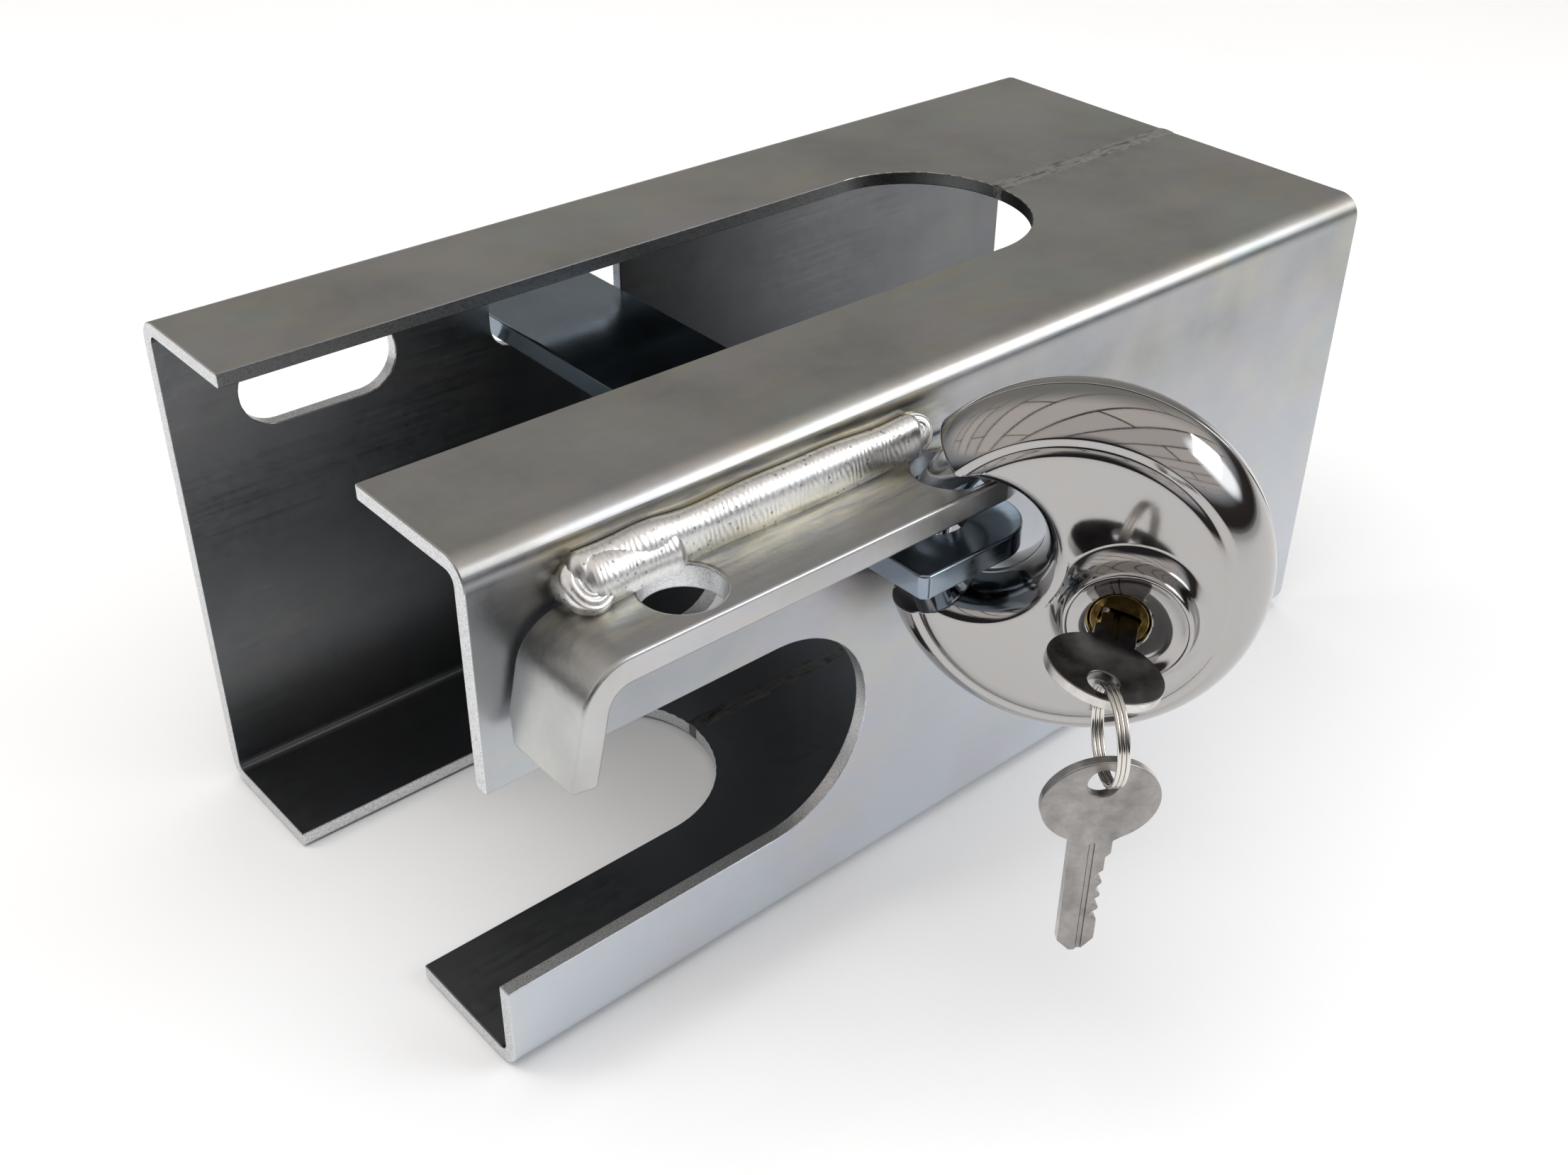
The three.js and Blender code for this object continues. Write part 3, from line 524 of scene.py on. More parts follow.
def bake(piece):
    """Turns a piece's modifiers into its own mesh."""
    graph = bpy.context.evaluated_depsgraph_get()
    mesh = bpy.data.meshes.new_from_object(piece.evaluated_get(graph))
    old = piece.data
    piece.modifiers.clear()
    piece.data = mesh
    bpy.data.meshes.remove(old)


def combine(piece, tools, operation="DIFFERENCE"):
    """Cuts tools out of a piece, or joins them to it; a cut face takes its tool's material."""
    for tool in tools:
        boolean = piece.modifiers.new("boolean", "BOOLEAN")
        boolean.operation = operation
        boolean.solver = "EXACT"
        boolean.material_mode = "TRANSFER"
        boolean.object = tool
        bake(piece)
        bpy.data.objects.remove(tool)
    return piece


def soften(piece, width, segments=2, angle=32):
    """Rounds every edge sharper than angle, and shades the rest smooth."""
    work = bmesh.new()
    work.from_mesh(piece.data)
    bmesh.ops.remove_doubles(work, verts=work.verts, dist=SMALLEST)
    bmesh.ops.dissolve_degenerate(work, edges=work.edges, dist=SMALLEST)
    work.to_mesh(piece.data)
    work.free()
    bevel = piece.modifiers.new("edges", "BEVEL")
    bevel.width = width
    bevel.segments = segments
    bevel.limit_method = "ANGLE"
    bevel.angle_limit = math.radians(angle)
    bevel.use_clamp_overlap = False
    bake(piece)
    return shade(piece, SHARP)


def shade(piece, angle):
    """Smooth shading, with edges sharper than angle kept crisp."""
    for face in piece.data.polygons:
        face.use_smooth = True
    piece.data.set_sharp_from_angle(angle=math.radians(angle))
    weighted = piece.modifiers.new("normals", "WEIGHTED_NORMAL")
    weighted.keep_sharp = True
    return piece


def merged(name, pieces):
    """Several closed meshes as one piece, with each one's materials kept."""
    materials = []
    work = bmesh.new()
    for piece in pieces:
        slots = []
        for material in piece.data.materials:
            if material not in materials:
                materials.append(material)
            slots.append(materials.index(material))
        first = len(work.faces)
        work.from_mesh(piece.data)
        work.faces.ensure_lookup_table()
        for face in work.faces[first:]:
            face.material_index = slots[min(face.material_index, len(slots) - 1)]
        bpy.data.objects.remove(piece)
    mesh = bpy.data.meshes.new(name)
    work.to_mesh(mesh)
    work.free()
    for material in materials:
        mesh.materials.append(material)
    return add_object(name, mesh)


def mark_sheet(piece, wall):
    """Gives a folded sheet its cut-edge material at both ends, its inside with painted shade and its wall."""
    for material in (EDGE, INNER_ZINC_PAINTED_SHADE, wall):
        piece.data.materials.append(material)
    for face in piece.data.polygons:
        across, up = abs(face.center.y), face.center.z
        inside = across < WALL - SHEET + SLACK and SHEET - SLACK < up < HEIGHT - SHEET + SLACK
        corner = Vector((across - (WALL - BEND), up - (BEND if up < BEND else HEIGHT - BEND)))
        rounded_part = across > WALL - BEND and (up < BEND or up > HEIGHT - BEND)
        if abs(face.normal.x) > 0.99:
            face.material_index = 1
        # faces inside the sheet take the zinc with painted shade
        elif (corner.length < BEND - SHEET + SLACK) if rounded_part else inside:
            face.material_index = 2
        elif across > WALL - 0.05 or (rounded_part and face.normal.z < 0.5):
            face.material_index = 3


def install(piece, body, nodes, place):
    """Brings a finished piece to its place in the row frame and names what it stands for."""
    piece.data.transform(place)
    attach(piece, body)
    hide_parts(*nodes)
    return piece


# ---- the folded box


def half_section(side):
    """Section of one folded half in (y, z); side is 1 for the left half and -1 for the right."""
    inner = BEND - SHEET
    low, high = BEND, HEIGHT - BEND
    outline = [(SEAM, 0), *arc(WALL - BEND, low, BEND, -90, 0, 12),
               *arc(WALL - BEND, high, BEND, 0, 90, 12), (SEAM, HEIGHT),
               (SEAM, HEIGHT - SHEET), *arc(WALL - BEND, high, inner, 90, 0, 8),
               *arc(WALL - BEND, low, inner, 0, -90, 8), (SEAM, SHEET)]
    return [(side * y, z) for y, z in outline]


def box_half(name, side):
    half = prism(name, half_section(side), 0, LENGTH, "section", SHEET_ZINC)
    # the right half's outside wall takes the zinc with painted light
    mark_sheet(half, SHEET_ZINC if side > 0 else WALL_ZINC_PAINTED_LIGHT)
    cutters = [
        # the top neck's cut edges take the edge with painted shade
        prism("cut", slot_outline(TOP_NECK_END, -NECK, NECK), HEIGHT - SHEET - THROUGH, HEIGHT + THROUGH,
              material=EDGE_PAINTED_SHADE),
        prism("cut", slot_outline(BOTTOM_NECK_END, -NECK, NECK), -THROUGH, SHEET + THROUGH),
    ]
    outside, inside = WALL + SHEET + BEND, WALL - SHEET - BEND
    reach = BAR_SLOT["length"] / 2
    for centre, corner in (BAR_SLOT["front"], BAR_SLOT["rear"]):
        outline = rounded(centre - reach, BAR_SLOT["low"], centre + reach, BAR_SLOT["high"], corner)
        cutters.append(prism("cut", outline, -side * inside, -side * outside, "side"))
    if side < 0:
        outline = slot_outline(HAND_SLOT["end"], HAND_SLOT["low"], HAND_SLOT["high"])
        cutters.append(prism("cut", outline, inside, outside, "side"))
    return soften(combine(half, cutters), 0.32, 3)


for hand, side in (("left", 1), ("right", -1)):
    install(box_half(f"box_{hand}_half", side), "box", [f"{hand}_half_shell"], DESIGN)


def seam_bead(name, start, outside, inside, material):
    """The ground seam weld: a shallow, uneven strip over the gap between the two halves."""
    rng = random.Random(4)
    half_steps = 6
    length_steps = 90
    lift = math.copysign(SEAM_BEAD["lift"], outside - inside)
    points = []
    for i in range(length_steps + 1):
        x = start + (LENGTH - start) * i / length_steps
        drift = 0.25 * math.sin(x * 0.35) + 0.12 * math.sin(x * 1.7 + 1)
        width = SEAM_BEAD["half_width"] + 0.25 * math.sin(x * 0.8) + rng.uniform(-0.08, 0.08)
        for k in range(-half_steps, half_steps + 1):
            across = k / half_steps
            swell = (1 - across**2) * (lift * (0.75 + 0.2 * math.sin(x * 2.3 + across)))
            points.append((x, drift * (1 - across**2) + across * width, outside + swell))
        points += [(x, SEAM * 0.98, inside), (x, -SEAM * 0.98, inside)]
    sides, caps = skin(length_steps + 1, 2 * half_steps + 3)
    return shade(make(name, points, sides + caps, material), WELD_SHARP)


install(seam_bead("top_seam_bead", TOP_NECK_END + 0.1, HEIGHT, HEIGHT - SHEET, GROUND), "box",
        ["top_seam_weld"], DESIGN)
# the bottom seam inside the box takes the ground weld with painted shade
install(seam_bead("bottom_seam_bead", BOTTOM_NECK_END + 0.1, SHEET, 0.0, INNER_GROUND_PAINTED_SHADE), "box",
        ["bottom_seam_weld"], DESIGN)


# ---- guard bar and its welds


def guard_bar():
    """The bar, bent down at the front; its leg stands clear of the wall and has its corner cut off."""
    lean = math.radians(GUARD["lean"])
    turn = 90 - GUARD["lean"]
    thick, bend = GUARD["thickness"], GUARD["bend"]
    top, low = guard_high.z, guard_low.z
    bend_x = GUARD["front_at_top"] + bend * math.tan(math.radians(turn) / 2)
    bottom = low + thick * math.sin(lean)
    leg_x = GUARD["front_at_top"] - math.tan(lean) * (top - bottom)
    rear = guard_high.x - FRONT
    outline = [(rear, top), *arc(bend_x, top - bend, bend, 90, 90 + turn, 20),
               (leg_x, bottom), (leg_x + thick * math.cos(lean), low),
               *arc(bend_x, top - bend, bend - thick, 90 + turn, 90, 12), (rear, top - thick)]
    bar = prism("guard_bar_fine", outline, -guard_high.y, -guard_low.y, "side", BAR_ZINC)
    holes = [prism("cut", circle(x, y, GUARD["hole"]), top - thick - 4, top + 4)
             for x, y in GUARD["holes"]]
    wall = guard_high.y
    gap = GUARD["leg_gap"]
    behind_leg = prism("cut", [(leg_x - 9, low - 5), (bend_x - 3, low - 5), (bend_x + 4, top - 2.2),
                               (bend_x - 6, top + 4), (leg_x - 9, top + 4)], -wall - 1, -wall + gap, "side")
    corner = prism("cut", [(wall + 3, low - 3), (wall + 3, low + 7.5), (wall - gap, low + 6.4),
                           (wall - 5.2, low - 3)], leg_x - 9, leg_x + 16, "section")
    round_off, side = GUARD["corner"], guard_low.y
    beyond = prism("cut", [(rear + 1, side - 1), (rear + 1, side + round_off),
                           *arc(rear - round_off, side + round_off, round_off, 0, -90, 16),
                           (rear - round_off, side - 1)], top - thick - 1, top + 1)
    return soften(combine(bar, [*holes, behind_leg, corner, beyond]), 0.8, 4)


install(guard_bar(), "box", ["guard_bar"], DESIGN)


def bead(name, start, end, corner, up, out, seed, pitch=1.05, swing=0.07):
    """A fillet weld in the corner at (y, z): crescent ripples on a convex, uneven bead."""
    rng = random.Random(seed)
    lumps = [(rng.uniform(start, end), rng.uniform(-0.25, 0.25), rng.uniform(4, 9))
             for _ in range(14)]
    length_steps = max(40, int((end - start) / BEAD["spacing"]))
    around, root = BEAD["around"], BEAD["root"]
    corner_y, corner_z = corner
    points = []
    for i in range(length_steps + 1):
        x = start + (end - start) * i / length_steps
        from_end = max(0.0, min(x - start, end - x)) / (abs(up) * BEAD["taper"])
        taper = math.sqrt(1 - (1 - min(1.0, from_end)) ** 2) if from_end < 1 else 1.0
        taper = max(taper, 0.05)
        swell = 1 + sum(h * math.exp(-((x - c) / w) ** 2) for c, h, w in lumps) * BEAD["swell"]
        for k in range(around + 1):
            t = k / around
            bearing = math.radians(90 * t)
            crescent = x + BEAD["crescent"] * math.cos(math.pi * (t - 0.5)) + 0.25 * math.sin(t * 9 + x)
            wave = abs(math.sin(math.pi * crescent / pitch))
            ripple = swing * (0.75 - wave) * math.sin(math.pi * min(1, t * 1.02)) * taper
            bulge = (1 + BEAD["bulge"] * math.sin(2 * bearing)) * swell
            rise = (up * bulge + ripple) * math.cos(bearing) * taper
            reach = (out * bulge + ripple) * math.sin(bearing) * taper
            points.append((x, corner_y - reach, corner_z + rise))
        points.append((x, corner_y + root, corner_z - math.copysign(root, up)))
    sides, caps = skin(length_steps + 1, around + 2)
    return make(name, points, sides + caps, WELD)


def crater(name, x, y, z, radius, lean, seed):
    """The round end of a weld pass: a low dome with ring ripples and a dimple in the middle."""
    rng = random.Random(seed)
    rings, steps = 22, 56
    points = []
    for i in range(1, rings + 1):
        r = i / rings
        dome = CRATER["height"] * math.sqrt(max(0.0, 1 - r**2.6))
        ripple = CRATER["ripple"] * math.cos(2 * math.pi * r * 4.5) * (1 - 0.4 * r)
        dimple = -CRATER["dimple"] * math.exp(-((r / 0.22) ** 2))
        for k in range(steps):
            a = 2 * math.pi * k / steps
            wide = radius * r * (1 + 0.05 * math.sin(3 * a + 1) + rng.uniform(-0.006, 0.006))
            points.append((wide * math.cos(a), wide * math.sin(a), dome + ripple + dimple))
    points += [(u, v, -CRATER["root"]) for u, v, _ in points[-steps:]]
    sides, caps = skin(rings + 1, steps)
    dome = make(name, points, sides + caps, WELD)
    dome.data.transform(Matrix.Translation((x, y, z)) @ Matrix.Rotation(math.radians(lean), 4, "X"))
    return dome


def upper_weld():
    """One long pass, a short wide one beside its front end, and the craters where they stop."""
    corner = (bead_high.y, bead_low.z)
    start, end = bead_low.x - FRONT, bead_high.x - FRONT
    height = bead_high.z - bead_low.z
    reach = bead_high.y - bead_low.y
    main = bead("main", start + 0.6, end, corner, height, reach + 0.9, 3)
    first = bead("first", start + 1.6, start + 24.0, corner, height * 0.96, reach + 2.6, 8, 0.9)
    front = crater("front", start + 4.6, corner[0] - 3.6, corner[1] + 3.2, 5.0, 40, 5)
    rear = crater("rear", end - 2.0, corner[0] - 1.6, corner[1] + 3.6, 3.8, 52, 6)
    return shade(merged("guard_weld_upper", [main, first, front, rear]), WELD_SHARP)


def lower_weld():
    corner = (under_high.y, under_high.z)
    size = under_high.z - under_low.z
    run = bead("run", under_low.x - FRONT, under_high.x - FRONT, corner, -size, size, 12, 0.9)
    run.name = "guard_weld_lower"
    return shade(run, WELD_SHARP)


install(upper_weld(), "box", ["guard_bar_weld_upper"], DESIGN)
install(lower_weld(), "box", ["guard_bar_weld_lower"], DESIGN)

# ---- locking bar


def locking_bar():
    front, rear = bar_low.x - FRONT, bar_high.x - FRONT
    near, far = bar_low.y, bar_high.y
    corner, cut, far_cut = BAR["corner"], BAR["near_chamfer"], BAR["far_chamfer"]
    outline = [(front, near + cut), (front + cut, near),
               *arc(rear - corner, near + corner, corner, -90, 0, 16), (rear, far - far_cut),
               (rear - far_cut, far), (front + far_cut, far), (front, far - far_cut)]
    bar = prism("locking_bar_fine", outline, bar_low.z, bar_high.z, "plan", BLUE_ZINC)
    hole = prism("cut", circle(*BAR["hole"], BAR["hole_radius"]), bar_low.z - THROUGH, bar_high.z + THROUGH,
                 "plan", BLUE_ZINC)
    return soften(combine(bar, [hole]), 0.55, 3)


install(locking_bar(), "locking_bar", ["locking_bar"], DESIGN)

# ---- padlock body


def body_profile(inset, seam):
    """Half section of the body: round rim, a groove, a rounded step, then the flat face."""
    centre = PADLOCK["radius"] - PADLOCK["rim"]
    rim = PADLOCK["rim"] - inset
    first = math.degrees(math.asin(max(seam, 0) / rim))
    rim_line = arc(centre, 0, rim, first, 57, 30)
    face, depth = PADLOCK["face"], PADLOCK["depth"] - inset
    edge = face - inset / 2
    step = [rim_line[-1], (edge + 2.75, depth - 1.02), (edge + 2.1, depth - 1.0),
            (edge + 1.45, depth - 0.52), (edge + 0.75, depth - 0.13), (edge - 0.3, depth)]
    return [(0, seam), *rim_line, *smooth_line(step, 5)[1:], (0, depth)]


def bay_cutters(inset, material):
    """The bay: a round waist that rolls out to both faces, and the mouth between the horns."""
    depth = PADLOCK["depth"]
    flare = BAY["mouth"] - BAY["waist"]
    roll = [(BAY["mouth"] - flare * math.cos(math.radians(a)) + inset,
             depth * 1.001 * math.sin(math.radians(a))) for a in range(-90, 91, 5)]
    end = roll[-1][0]
    reach = depth + 6
    profile = [(0, -reach), (end, -reach), *roll, (end, reach), (0, reach)]
    waist = lathe("cut", profile, 144, BAY["centre"], material)

    def at(bearing, radius, shift):
        a = math.radians(bearing)
        return (radius * math.cos(a) + shift * math.sin(a), radius * math.sin(a) - shift * math.cos(a))

    mouth = [at(BAY["upper"], 17, inset), at(BAY["upper"], 45, inset), at(172, 60, 0),
             at(BAY["lower"], 45, -inset), at(BAY["lower"], 22.5, -inset),
             (BAY["centre"][0], -5 - inset)]
    return [waist, prism("cut", mouth, -reach, reach, "side", material)]


def shackle_way(radius, material):
    ring = [(u, 0, v) for u, v in circle(0, 0, SHACKLE["radius"], 120)]
    return sweep("cut", ring, radius, 40, material, closed=True)


def boss_profile():
    """The raised collar round the keyhole: a flared foot, a thin rim and a gently dished face."""
    foot, rim, depth, dish = BOSS["foot"], BOSS["rim"], BOSS["depth"], BOSS["dish"]
    face = PADLOCK["depth"]
    line = [(foot + 0.9, face - 0.02), (foot - 0.1, face + 0.22), (rim + 0.95, face + 1.5),
            (rim + 0.35, depth - 1.0), (rim + 0.05, depth - 0.25), (rim - 0.4, depth),
            (rim - 1.0, depth - 0.16), (rim - 2.4, dish + 0.75), (rim - 4.2, dish + 0.2),
            (PLUG["radius"] - 1, dish)]
    return [(0, face - 0.6), (foot + 0.9, face - 0.6), *smooth_line(line, 6), (0, dish)]


def padlock_half(name, is_front):
    body = lathe(name, body_profile(0, PADLOCK["seam"]), 192, material=STAINLESS)
    hollow = lathe("cut", body_profile(PADLOCK["wall"], -1), 96, material=STAINLESS)
    combine(hollow, bay_cutters(PADLOCK["wall"], STAINLESS))
    cuts = bay_cutters(0, STAINLESS)
    if is_front:
        collar = lathe("collar", boss_profile(), 144, BOSS["centre"], STAINLESS)
        combine(body, [collar], "UNION")
        hole = PLUG["radius"] + GAP
        keyhole = [(0, 9), (hole, 9), (hole, BOSS["dish"] - 0.25), (hole + 0.25, BOSS["dish"] + 0.1),
                   (hole + 0.25, 18), (0, 18)]
        cuts.append(lathe("cut", keyhole, 96, PLUG_AXIS, STAINLESS))
        room = [(0, 8.5), (BOSS["foot"] - 1.6, 8.5), (BOSS["rim"] - 1.6, BOSS["dish"] - 1.2),
                (0, BOSS["dish"] - 1.2)]
        under_boss = lathe("cut", room, 96, BOSS["centre"], STAINLESS)
        cuts.append(combine(under_boss, bay_cutters(PADLOCK["wall"], STAINLESS)))
    cuts += [hollow, shackle_way(SHACKLE["rod"] + 0.5, STAINLESS)]
    combine(body, cuts)
    if not is_front:
        body.data.transform(Matrix.Diagonal((1, -1, 1, 1)))
        body.data.flip_normals()
    return soften(body, 0.22, 3, 38)


for half in ("front", "back"):
    install(padlock_half(f"padlock_{half}_fine", half == "front"), "padlock", [f"padlock_{half}_shell"],
            PADLOCK_FRAME)

# ---- shackle


def shackle():
    """The rod, bent to an arc, with the forked lug that the crank pin drives."""
    bearing = math.degrees(math.atan2(PLUG_AXIS[1], PLUG_AXIS[0])) - SHACKLE["travel"] / 2
    root = bearing + 7 - 360
    path = [(u, 0, v) for u, v in arc(0, 0, SHACKLE["radius"], SHACKLE["tip"], root, 150)]
    rod = soften(sweep("rod", path, SHACKLE["rod"], 48, CHROME), 0.6, 4, 60)
    rod.modifiers.clear()
    plate, riser, slot = (slab_between(part, *reach) for part, reach in LUG.items())
    lug = soften(combine(combine(plate, [riser], "UNION"), [slot]), 0.3, 2)
    lug.modifiers.clear()
    lug.data.transform(Matrix.Rotation(math.radians(-bearing), 4, "Y"))
    return shade(merged("shackle_fine", [rod, lug]), SHARP)


install(shackle(), "shackle", ["shackle"], PADLOCK_FRAME)

# ---- cylinder


def chamber(depth, near, far):
    """A pin hole through the barrel or plug, towards the bay."""
    path = [(-near, -depth, 0), (-(near + far) / 2, -depth, 0), (-far, -depth, 0)]
    return sweep("cut", path, PINS["hole"], 24, BRASS)


def pin_depths():
    return [PINS["first"] + i * PINS["pitch"] for i in range(PINS["count"])]


def cylinder_barrel():
    bore, radius, nose = BARREL["bore"], BARREL["radius"], BARREL["nose"]
    front, nose_front = BARREL["front"], BARREL["nose_front"]
    sleeve = lathe("cylinder_barrel_fine", [(bore, -3.9), (radius, -3.9), (radius, front), (nose, front),
                                            (nose, nose_front), (bore, nose_front)], 96, material=BRASS)
    block = slab_between("block", (-BARREL["end"], -bore - 0.6), (-3.1, 3.1), (-3.6, 8.4), BRASS)
    combine(sleeve, [block], "UNION")
    combine(sleeve, [chamber(d, 5, BARREL["end"] - 0.5) for d in pin_depths()])
    return soften(sleeve, 0.25, 3)


def cylinder_plug():
    profile = [(0, PLUG["tail_back"]), (PLUG["tail"], PLUG["tail_back"]), (PLUG["tail"], PLUG["back"]),
               (PLUG["radius"], PLUG["back"]), (PLUG["radius"], PLUG["front"]), (0, PLUG["front"])]
    plug = lathe("cylinder_plug_fine", profile, 96, material=BRASS)
    across, thick = KEY["width"] / 2 + GAP, KEY["thickness"] / 2 + GAP
    way = slab_between("cut", (-across, across), (-thick, thick),
                       (PLUG["front"] - KEY["reach"] - GAP, PLUG["front"] + 2), BRASS)
    dish = lathe("cut", [(0, PLUG["front"] - 0.45), (2.6, PLUG["front"] - 0.45),
                         (PLUG["radius"] - 1.0, PLUG["front"] + 0.1), (0, PLUG["front"] + 0.1)],
                 96, material=BRASS)
    return soften(combine(plug, [way, dish, *[chamber(d, 1, 7) for d in pin_depths()]]), 0.22, 3)


install(cylinder_barrel(), "padlock", ["cylinder_barrel"], CYLINDER_FRAME)
install(cylinder_plug(), "plug", ["cylinder_plug"], CYLINDER_FRAME)

# ---- keys


def key_outline():
    """The key in plan: an oval bow, a narrow neck with a stop, and a blade cut on its left edge."""
    half = KEY["width"] / 2
    bow_centre = KEY["bow_length"] / 2 - 0.4
    bottom = -KEY["blade"] + 2.5
    neck = math.degrees(math.asin((-bow_centre / KEY["bow_length"]) * 1.9))
    bow = [(KEY["bow_shift"] + KEY["bow_width"] / 2 * u, bow_centre + KEY["bow_length"] / 2 * v)
           for u, v in arc(0, 0, 1, neck, 180 - neck, 72)]
    teeth = []
    for i in range(PINS["count"]):
        v = -8.2 + i * PINS["pitch"]
        cut = 0.8 + 0.6 * abs(math.sin(2.1 * i + 1))
        teeth += [(-half, v + 1.2), (-half + cut, v + 0.3), (-half + cut, v - 0.3), (-half, v - 1.2)]
    stop = [(-half - 0.9, -0.4), (-half - 0.9, -3.2), (-half, -4)]
    tip = [(-half, bottom), (-1, -KEY["blade"]), (1, -KEY["blade"])]
    return [(half, bottom), (half, 0), *bow, *stop, *teeth, *tip]


def key_piece(name, material):
    thick = KEY["thickness"] / 2
    plate = prism(name, key_outline(), -thick, thick, "plan", material)
    plate.data.materials.append(KEY_EDGE)
    for face in plate.data.polygons:
        face.material_index = 0 if abs(face.normal.z) > 0.9 else 1
    hole_at = (KEY["bow_shift"], KEY["bow_length"] - KEY["hole_from_end"])
    hole = prism("cut", circle(*hole_at, KEY["hole"]), -4, 4, "plan", material)
    grooves = [
        prism("cut", rounded(0.5, -KEY["blade"] - 2, 1.8, 0.9, 0.5, 4), thick - 0.45, thick + 2,
              "plan", material),
        prism("cut", rounded(-1.1, -KEY["blade"] - 2, -0.2, -0.6, 0.3, 4), -thick - 2, -thick + 0.4,
              "plan", material),
    ]
    return soften(combine(plate, [hole, *grooves]), 0.24, 3)


def columns(right, ahead, up):
    """A turn whose columns say where the key's right, its bow end and its face point."""
    return Matrix((right, ahead, up)).transposed().to_4x4()


key_out = PLUG["front"] - KEY["reach"] + KEY["blade"]
first_key = key_piece("key_1_fine", KEY_DARK)
first_key.data.transform(Matrix.Translation((0, -key_out, 0)) @ columns((1, 0, 0), (0, -1, 0), (0, 0, -1)))
install(first_key, "key", ["key_1"], CYLINDER_FRAME)

# The ring passes through the bow's hole and hangs from it, turned a little to the right.
hole_out = key_out + KEY["bow_length"] - KEY["hole_from_end"]
tilt, ring_yaw = math.radians(PLUG["tilt"]), math.radians(RING["yaw"])
hang = math.sqrt(RING["radius"] ** 2 - RING["lean"] ** 2)
ring_place = Vector((KEY["bow_shift"] * math.cos(tilt) + RING["lean"] * math.sin(ring_yaw),
                     -(hole_out + RING["lean"] * math.cos(ring_yaw)),
                     -KEY["bow_shift"] * math.sin(tilt) - hang))
RING_FRAME = PLUG_FRAME @ Matrix.Translation(ring_place) @ Matrix.Rotation(ring_yaw, 4, "Z")


def split_ring():
    turns, pitch = RING["turns"], RING["pitch"]
    path = []
    for i in range(turns * 72 + 1):
        t = i / (turns * 72)
        a = t * turns * 2 * math.pi
        path.append(((t - 0.5) * turns * pitch, RING["radius"] * math.cos(a), RING["radius"] * math.sin(a)))
    return shade(sweep("split_ring_fine", path, RING["wire"], 16, BRIGHT_NICKEL), SHARP)


install(split_ring(), "ring", ["split_ring"], RING_FRAME)

second_key = key_piece("key_2_fine", KEY_LIGHT)
drop = -RING["radius"] - (KEY["bow_length"] - KEY["hole_from_end"]) - 1.2
second_key.data.transform(Matrix.Translation((KEY["bow_shift"], 0, drop))
                          @ columns((-1, 0, 0), (0, 0, 1), (0, 1, 0)))
install(second_key, "spare_key", ["key_2"], RING_FRAME)

# ---- pieces inside the padlock

INSIDE = {"core_carrier": CASTING, "anti_drill_ring": HARDENED, "detent_ball": HARDENED,
          "detent_spring": SPRING, "plug_clip": SPRING, "drive_crank": HARDENED, "crank_screw": SPRING}
for i in range(1, PINS["count"] + 1):
    INSIDE |= {f"key_pin_{i}": BRASS, f"driver_pin_{i}": BRASS, f"pin_spring_{i}": SPRING}
for node, material in INSIDE.items():
    mesh = frame["nodes"][node].data
    mesh.materials.clear()
    mesh.materials.append(material)

# ---- camera, floor and light

CAMERA = {"place": (-0.22104, -0.24642, 0.25196), "azimuth": 0.754, "elevation": 0.586, "roll": 0.032,
          "lens": 39.99, "shift": (-0.0316, -0.0113)}
FLOOR_SIZE, FLOOR_LEVEL = 6.0, -0.0006
TARGET = Vector((0, 0, 0.06))              # where the lights point


def add_camera():
    data = bpy.data.cameras.new("camera")
    data.lens = CAMERA["lens"]
    data.shift_x, data.shift_y = CAMERA["shift"]
    data.clip_start = 0.01
    camera = add_object("camera", data)
    az, el = CAMERA["azimuth"], CAMERA["elevation"]
    ahead = Vector((math.cos(el) * math.sin(az), math.cos(el) * math.cos(az), -math.sin(el)))
    right = ahead.cross(UP).normalized()
    turn = Matrix((right, right.cross(ahead), -ahead)).transposed().to_4x4()
    turn = turn @ Matrix.Rotation(CAMERA["roll"], 4, "Z")
    turn.translation = CAMERA["place"]
    camera.matrix_world = turn
    bpy.context.scene.camera = camera


def add_floor():
    corners = [(u * FLOOR_SIZE, v * FLOOR_SIZE, 0) for u, v in ((-1, -1), (1, -1), (1, 1), (-1, 1))]
    floor = make("floor", corners, [(0, 1, 2, 3)], floor_paint())
    floor.location.z = FLOOR_LEVEL


def floor_paint():
    finish = Finish("floor_paint", 0.85, 0.0)
    finish.colour(finish.ramp(finish.grain(180, 2), [(0.3, (0.90, 0.90, 0.905)), (0.7, (0.92, 0.92, 0.92))]))
    return finish.material


def add_light(name, place, size, power, colour, mirrored=True):
    """A soft rectangular light; one that isn't mirrored lights the floor but shows in no metal."""
    data = bpy.data.lights.new(name, "AREA")
    data.shape = "RECTANGLE"
    data.size, data.size_y = size
    data.energy = power
    data.color = colour
    light = add_object(name, data)
    light.location = place
    light.rotation_mode = "QUATERNION"
    light.rotation_quaternion = (TARGET - Vector(place)).to_track_quat("-Z", "Y")
    light.visible_glossy = mirrored


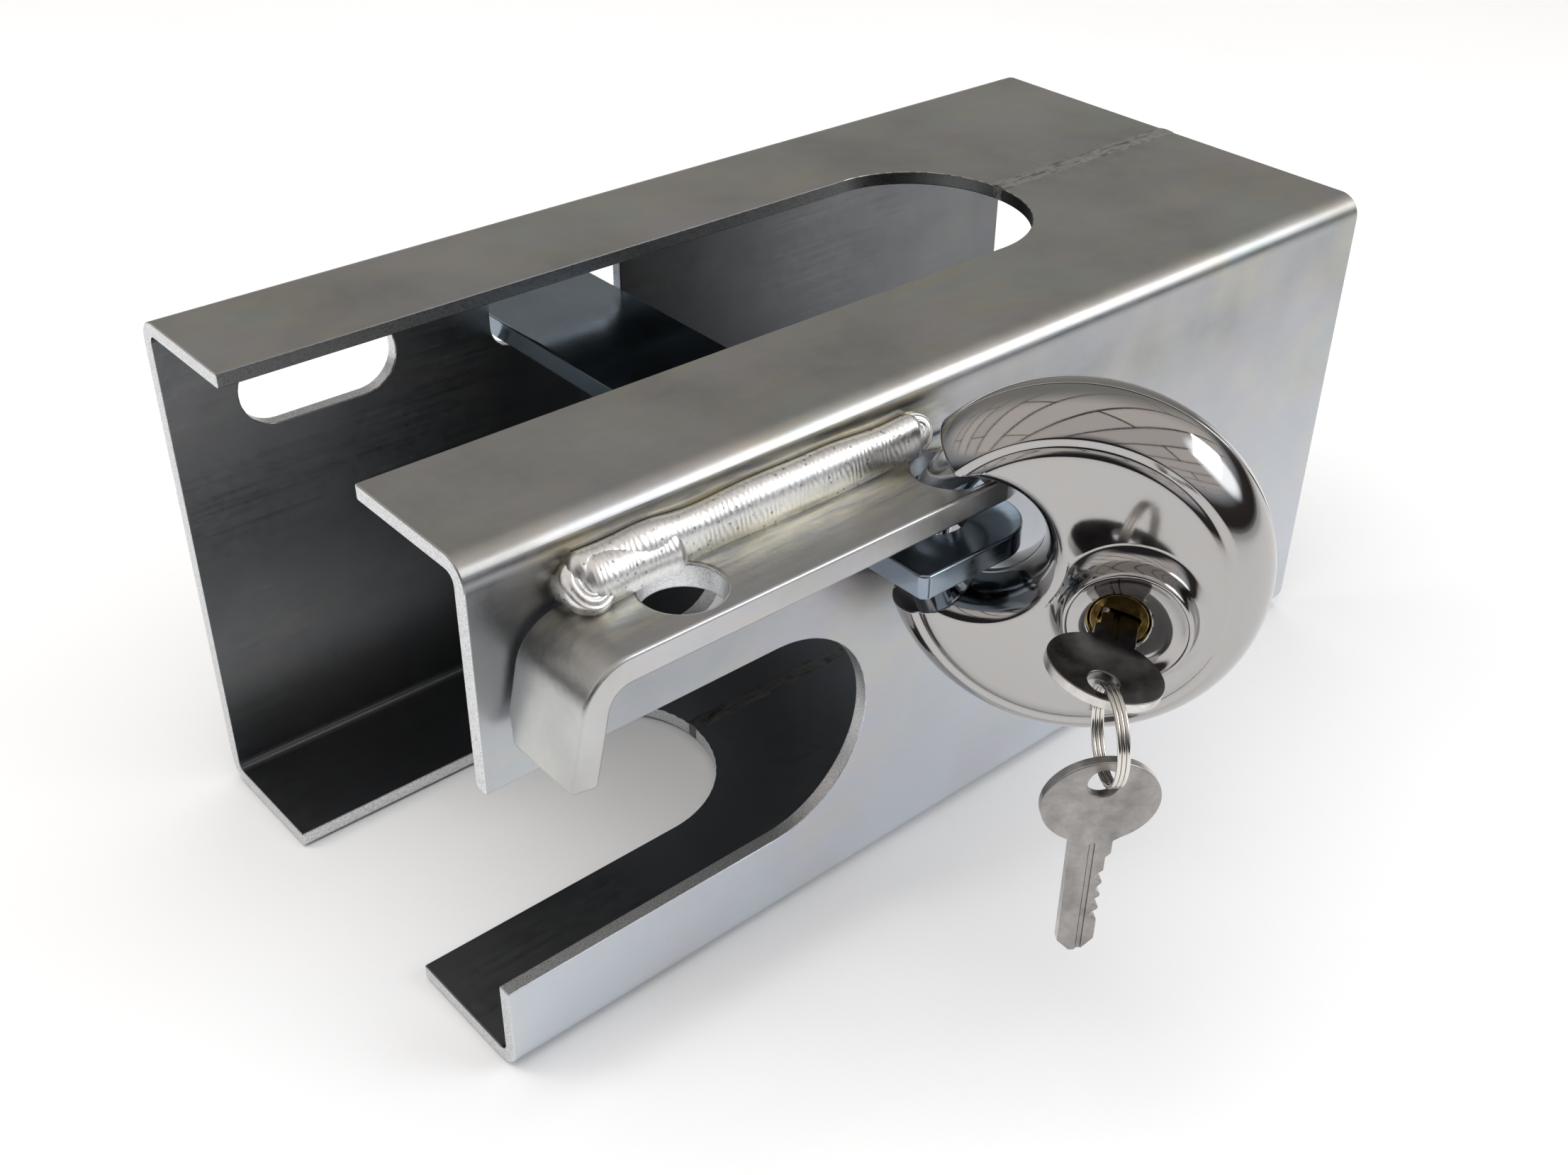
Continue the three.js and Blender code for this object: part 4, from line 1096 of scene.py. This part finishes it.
class Sky(Nodes):
    """The studio round the object, as world nodes."""

    def __init__(self):
        world = bpy.data.worlds.new("studio")
        bpy.context.scene.world = world
        world.use_nodes = True
        super().__init__(world.node_tree)
        self.direction = self.node("TexCoord").outputs["Generated"]
        self.x, self.y, self.z = self.node("SeparateXYZ", {"Vector": self.direction}).outputs

    def towards(self, direction, near, far):
        """1 round a direction and 0 away from it; near and far are cosines."""
        dot = self.node("VectorMath", {0: self.direction, 1: Vector(direction).normalized()},
                        operation="DOT_PRODUCT")
        return self.spread(dot.outputs["Value"], far, near, interpolation_type="SMOOTHSTEP")

    def panels(self):
        """A flat ceiling of long pale panels with thin dark joints, for polished metal to mirror."""
        rise = self.maths("MAXIMUM", self.z, 0.05)
        place = self.node("CombineXYZ", {"X": self.maths("DIVIDE", self.x, rise),
                                         "Y": self.maths("DIVIDE", self.y, rise)})
        brick = self.node("TexBrick", {
            "Vector": place.outputs["Vector"], "Color1": (0.86, 0.80, 0.75), "Color2": (0.70, 0.66, 0.64),
            "Mortar": (0.02, 0.02, 0.02), "Scale": 1.0, "Mortar Size": 0.02, "Brick Width": 2.4,
            "Row Height": 0.42})
        return brick.outputs["Color"]


def add_world():
    """A pale hall: panels above, dark walls at eye level, a bright opening to the right."""
    sky = Sky()
    level = sky.maths("ADD", sky.maths("MULTIPLY", sky.z, 0.5), 0.5)
    walls = sky.ramp(level, [(0.0, (0.9, 0.9, 0.9)), (0.46, (0.55, 0.55, 0.56)),
                             (0.52, (0.035, 0.03, 0.028)), (0.60, (0.05, 0.045, 0.042)),
                             (0.645, (0.38, 0.40, 0.43)), (0.70, (0.66, 0.66, 0.66))])
    above = sky.ramp(level, [(0.66, (0, 0, 0)), (0.70, (1, 1, 1))])
    hall = sky.blend(above, walls, sky.panels())
    for direction, near, far, colour in (((0.62, 0.66, 0.42), 0.97, 0.55, (0.32, 0.315, 0.30)),
                                         ((0.60, -0.62, 0.50), 0.98, 0.94, (2.1, 2.2, 2.3)),
                                         ((-0.75, -0.55, 0.30), 0.95, 0.85, (0.03, 0.028, 0.03))):
        hall = sky.blend(sky.towards(direction, near, far), hall, colour)
    seen = sky.blend(sky.node("LightPath").outputs["Is Camera Ray"], hall, (0.97, 0.97, 0.975))
    sky.put(sky.tree.nodes["Background"].inputs["Color"], seen)


add_camera()
add_floor()
add_world()
add_light("fill", (-0.1, 0.0, 1.3), (1.6, 1.6), 13, (0.95, 0.98, 1.0), mirrored=False)
add_light("right", (0.75, -0.75, 0.80), (0.7, 0.35), 2.5, (0.97, 0.99, 1.0))
add_light("left", (-0.9, 0.7, 0.9), (0.5, 0.5), 3, (1.0, 0.98, 0.95), mirrored=False)
bpy.context.scene.view_settings.view_transform = "Standard"
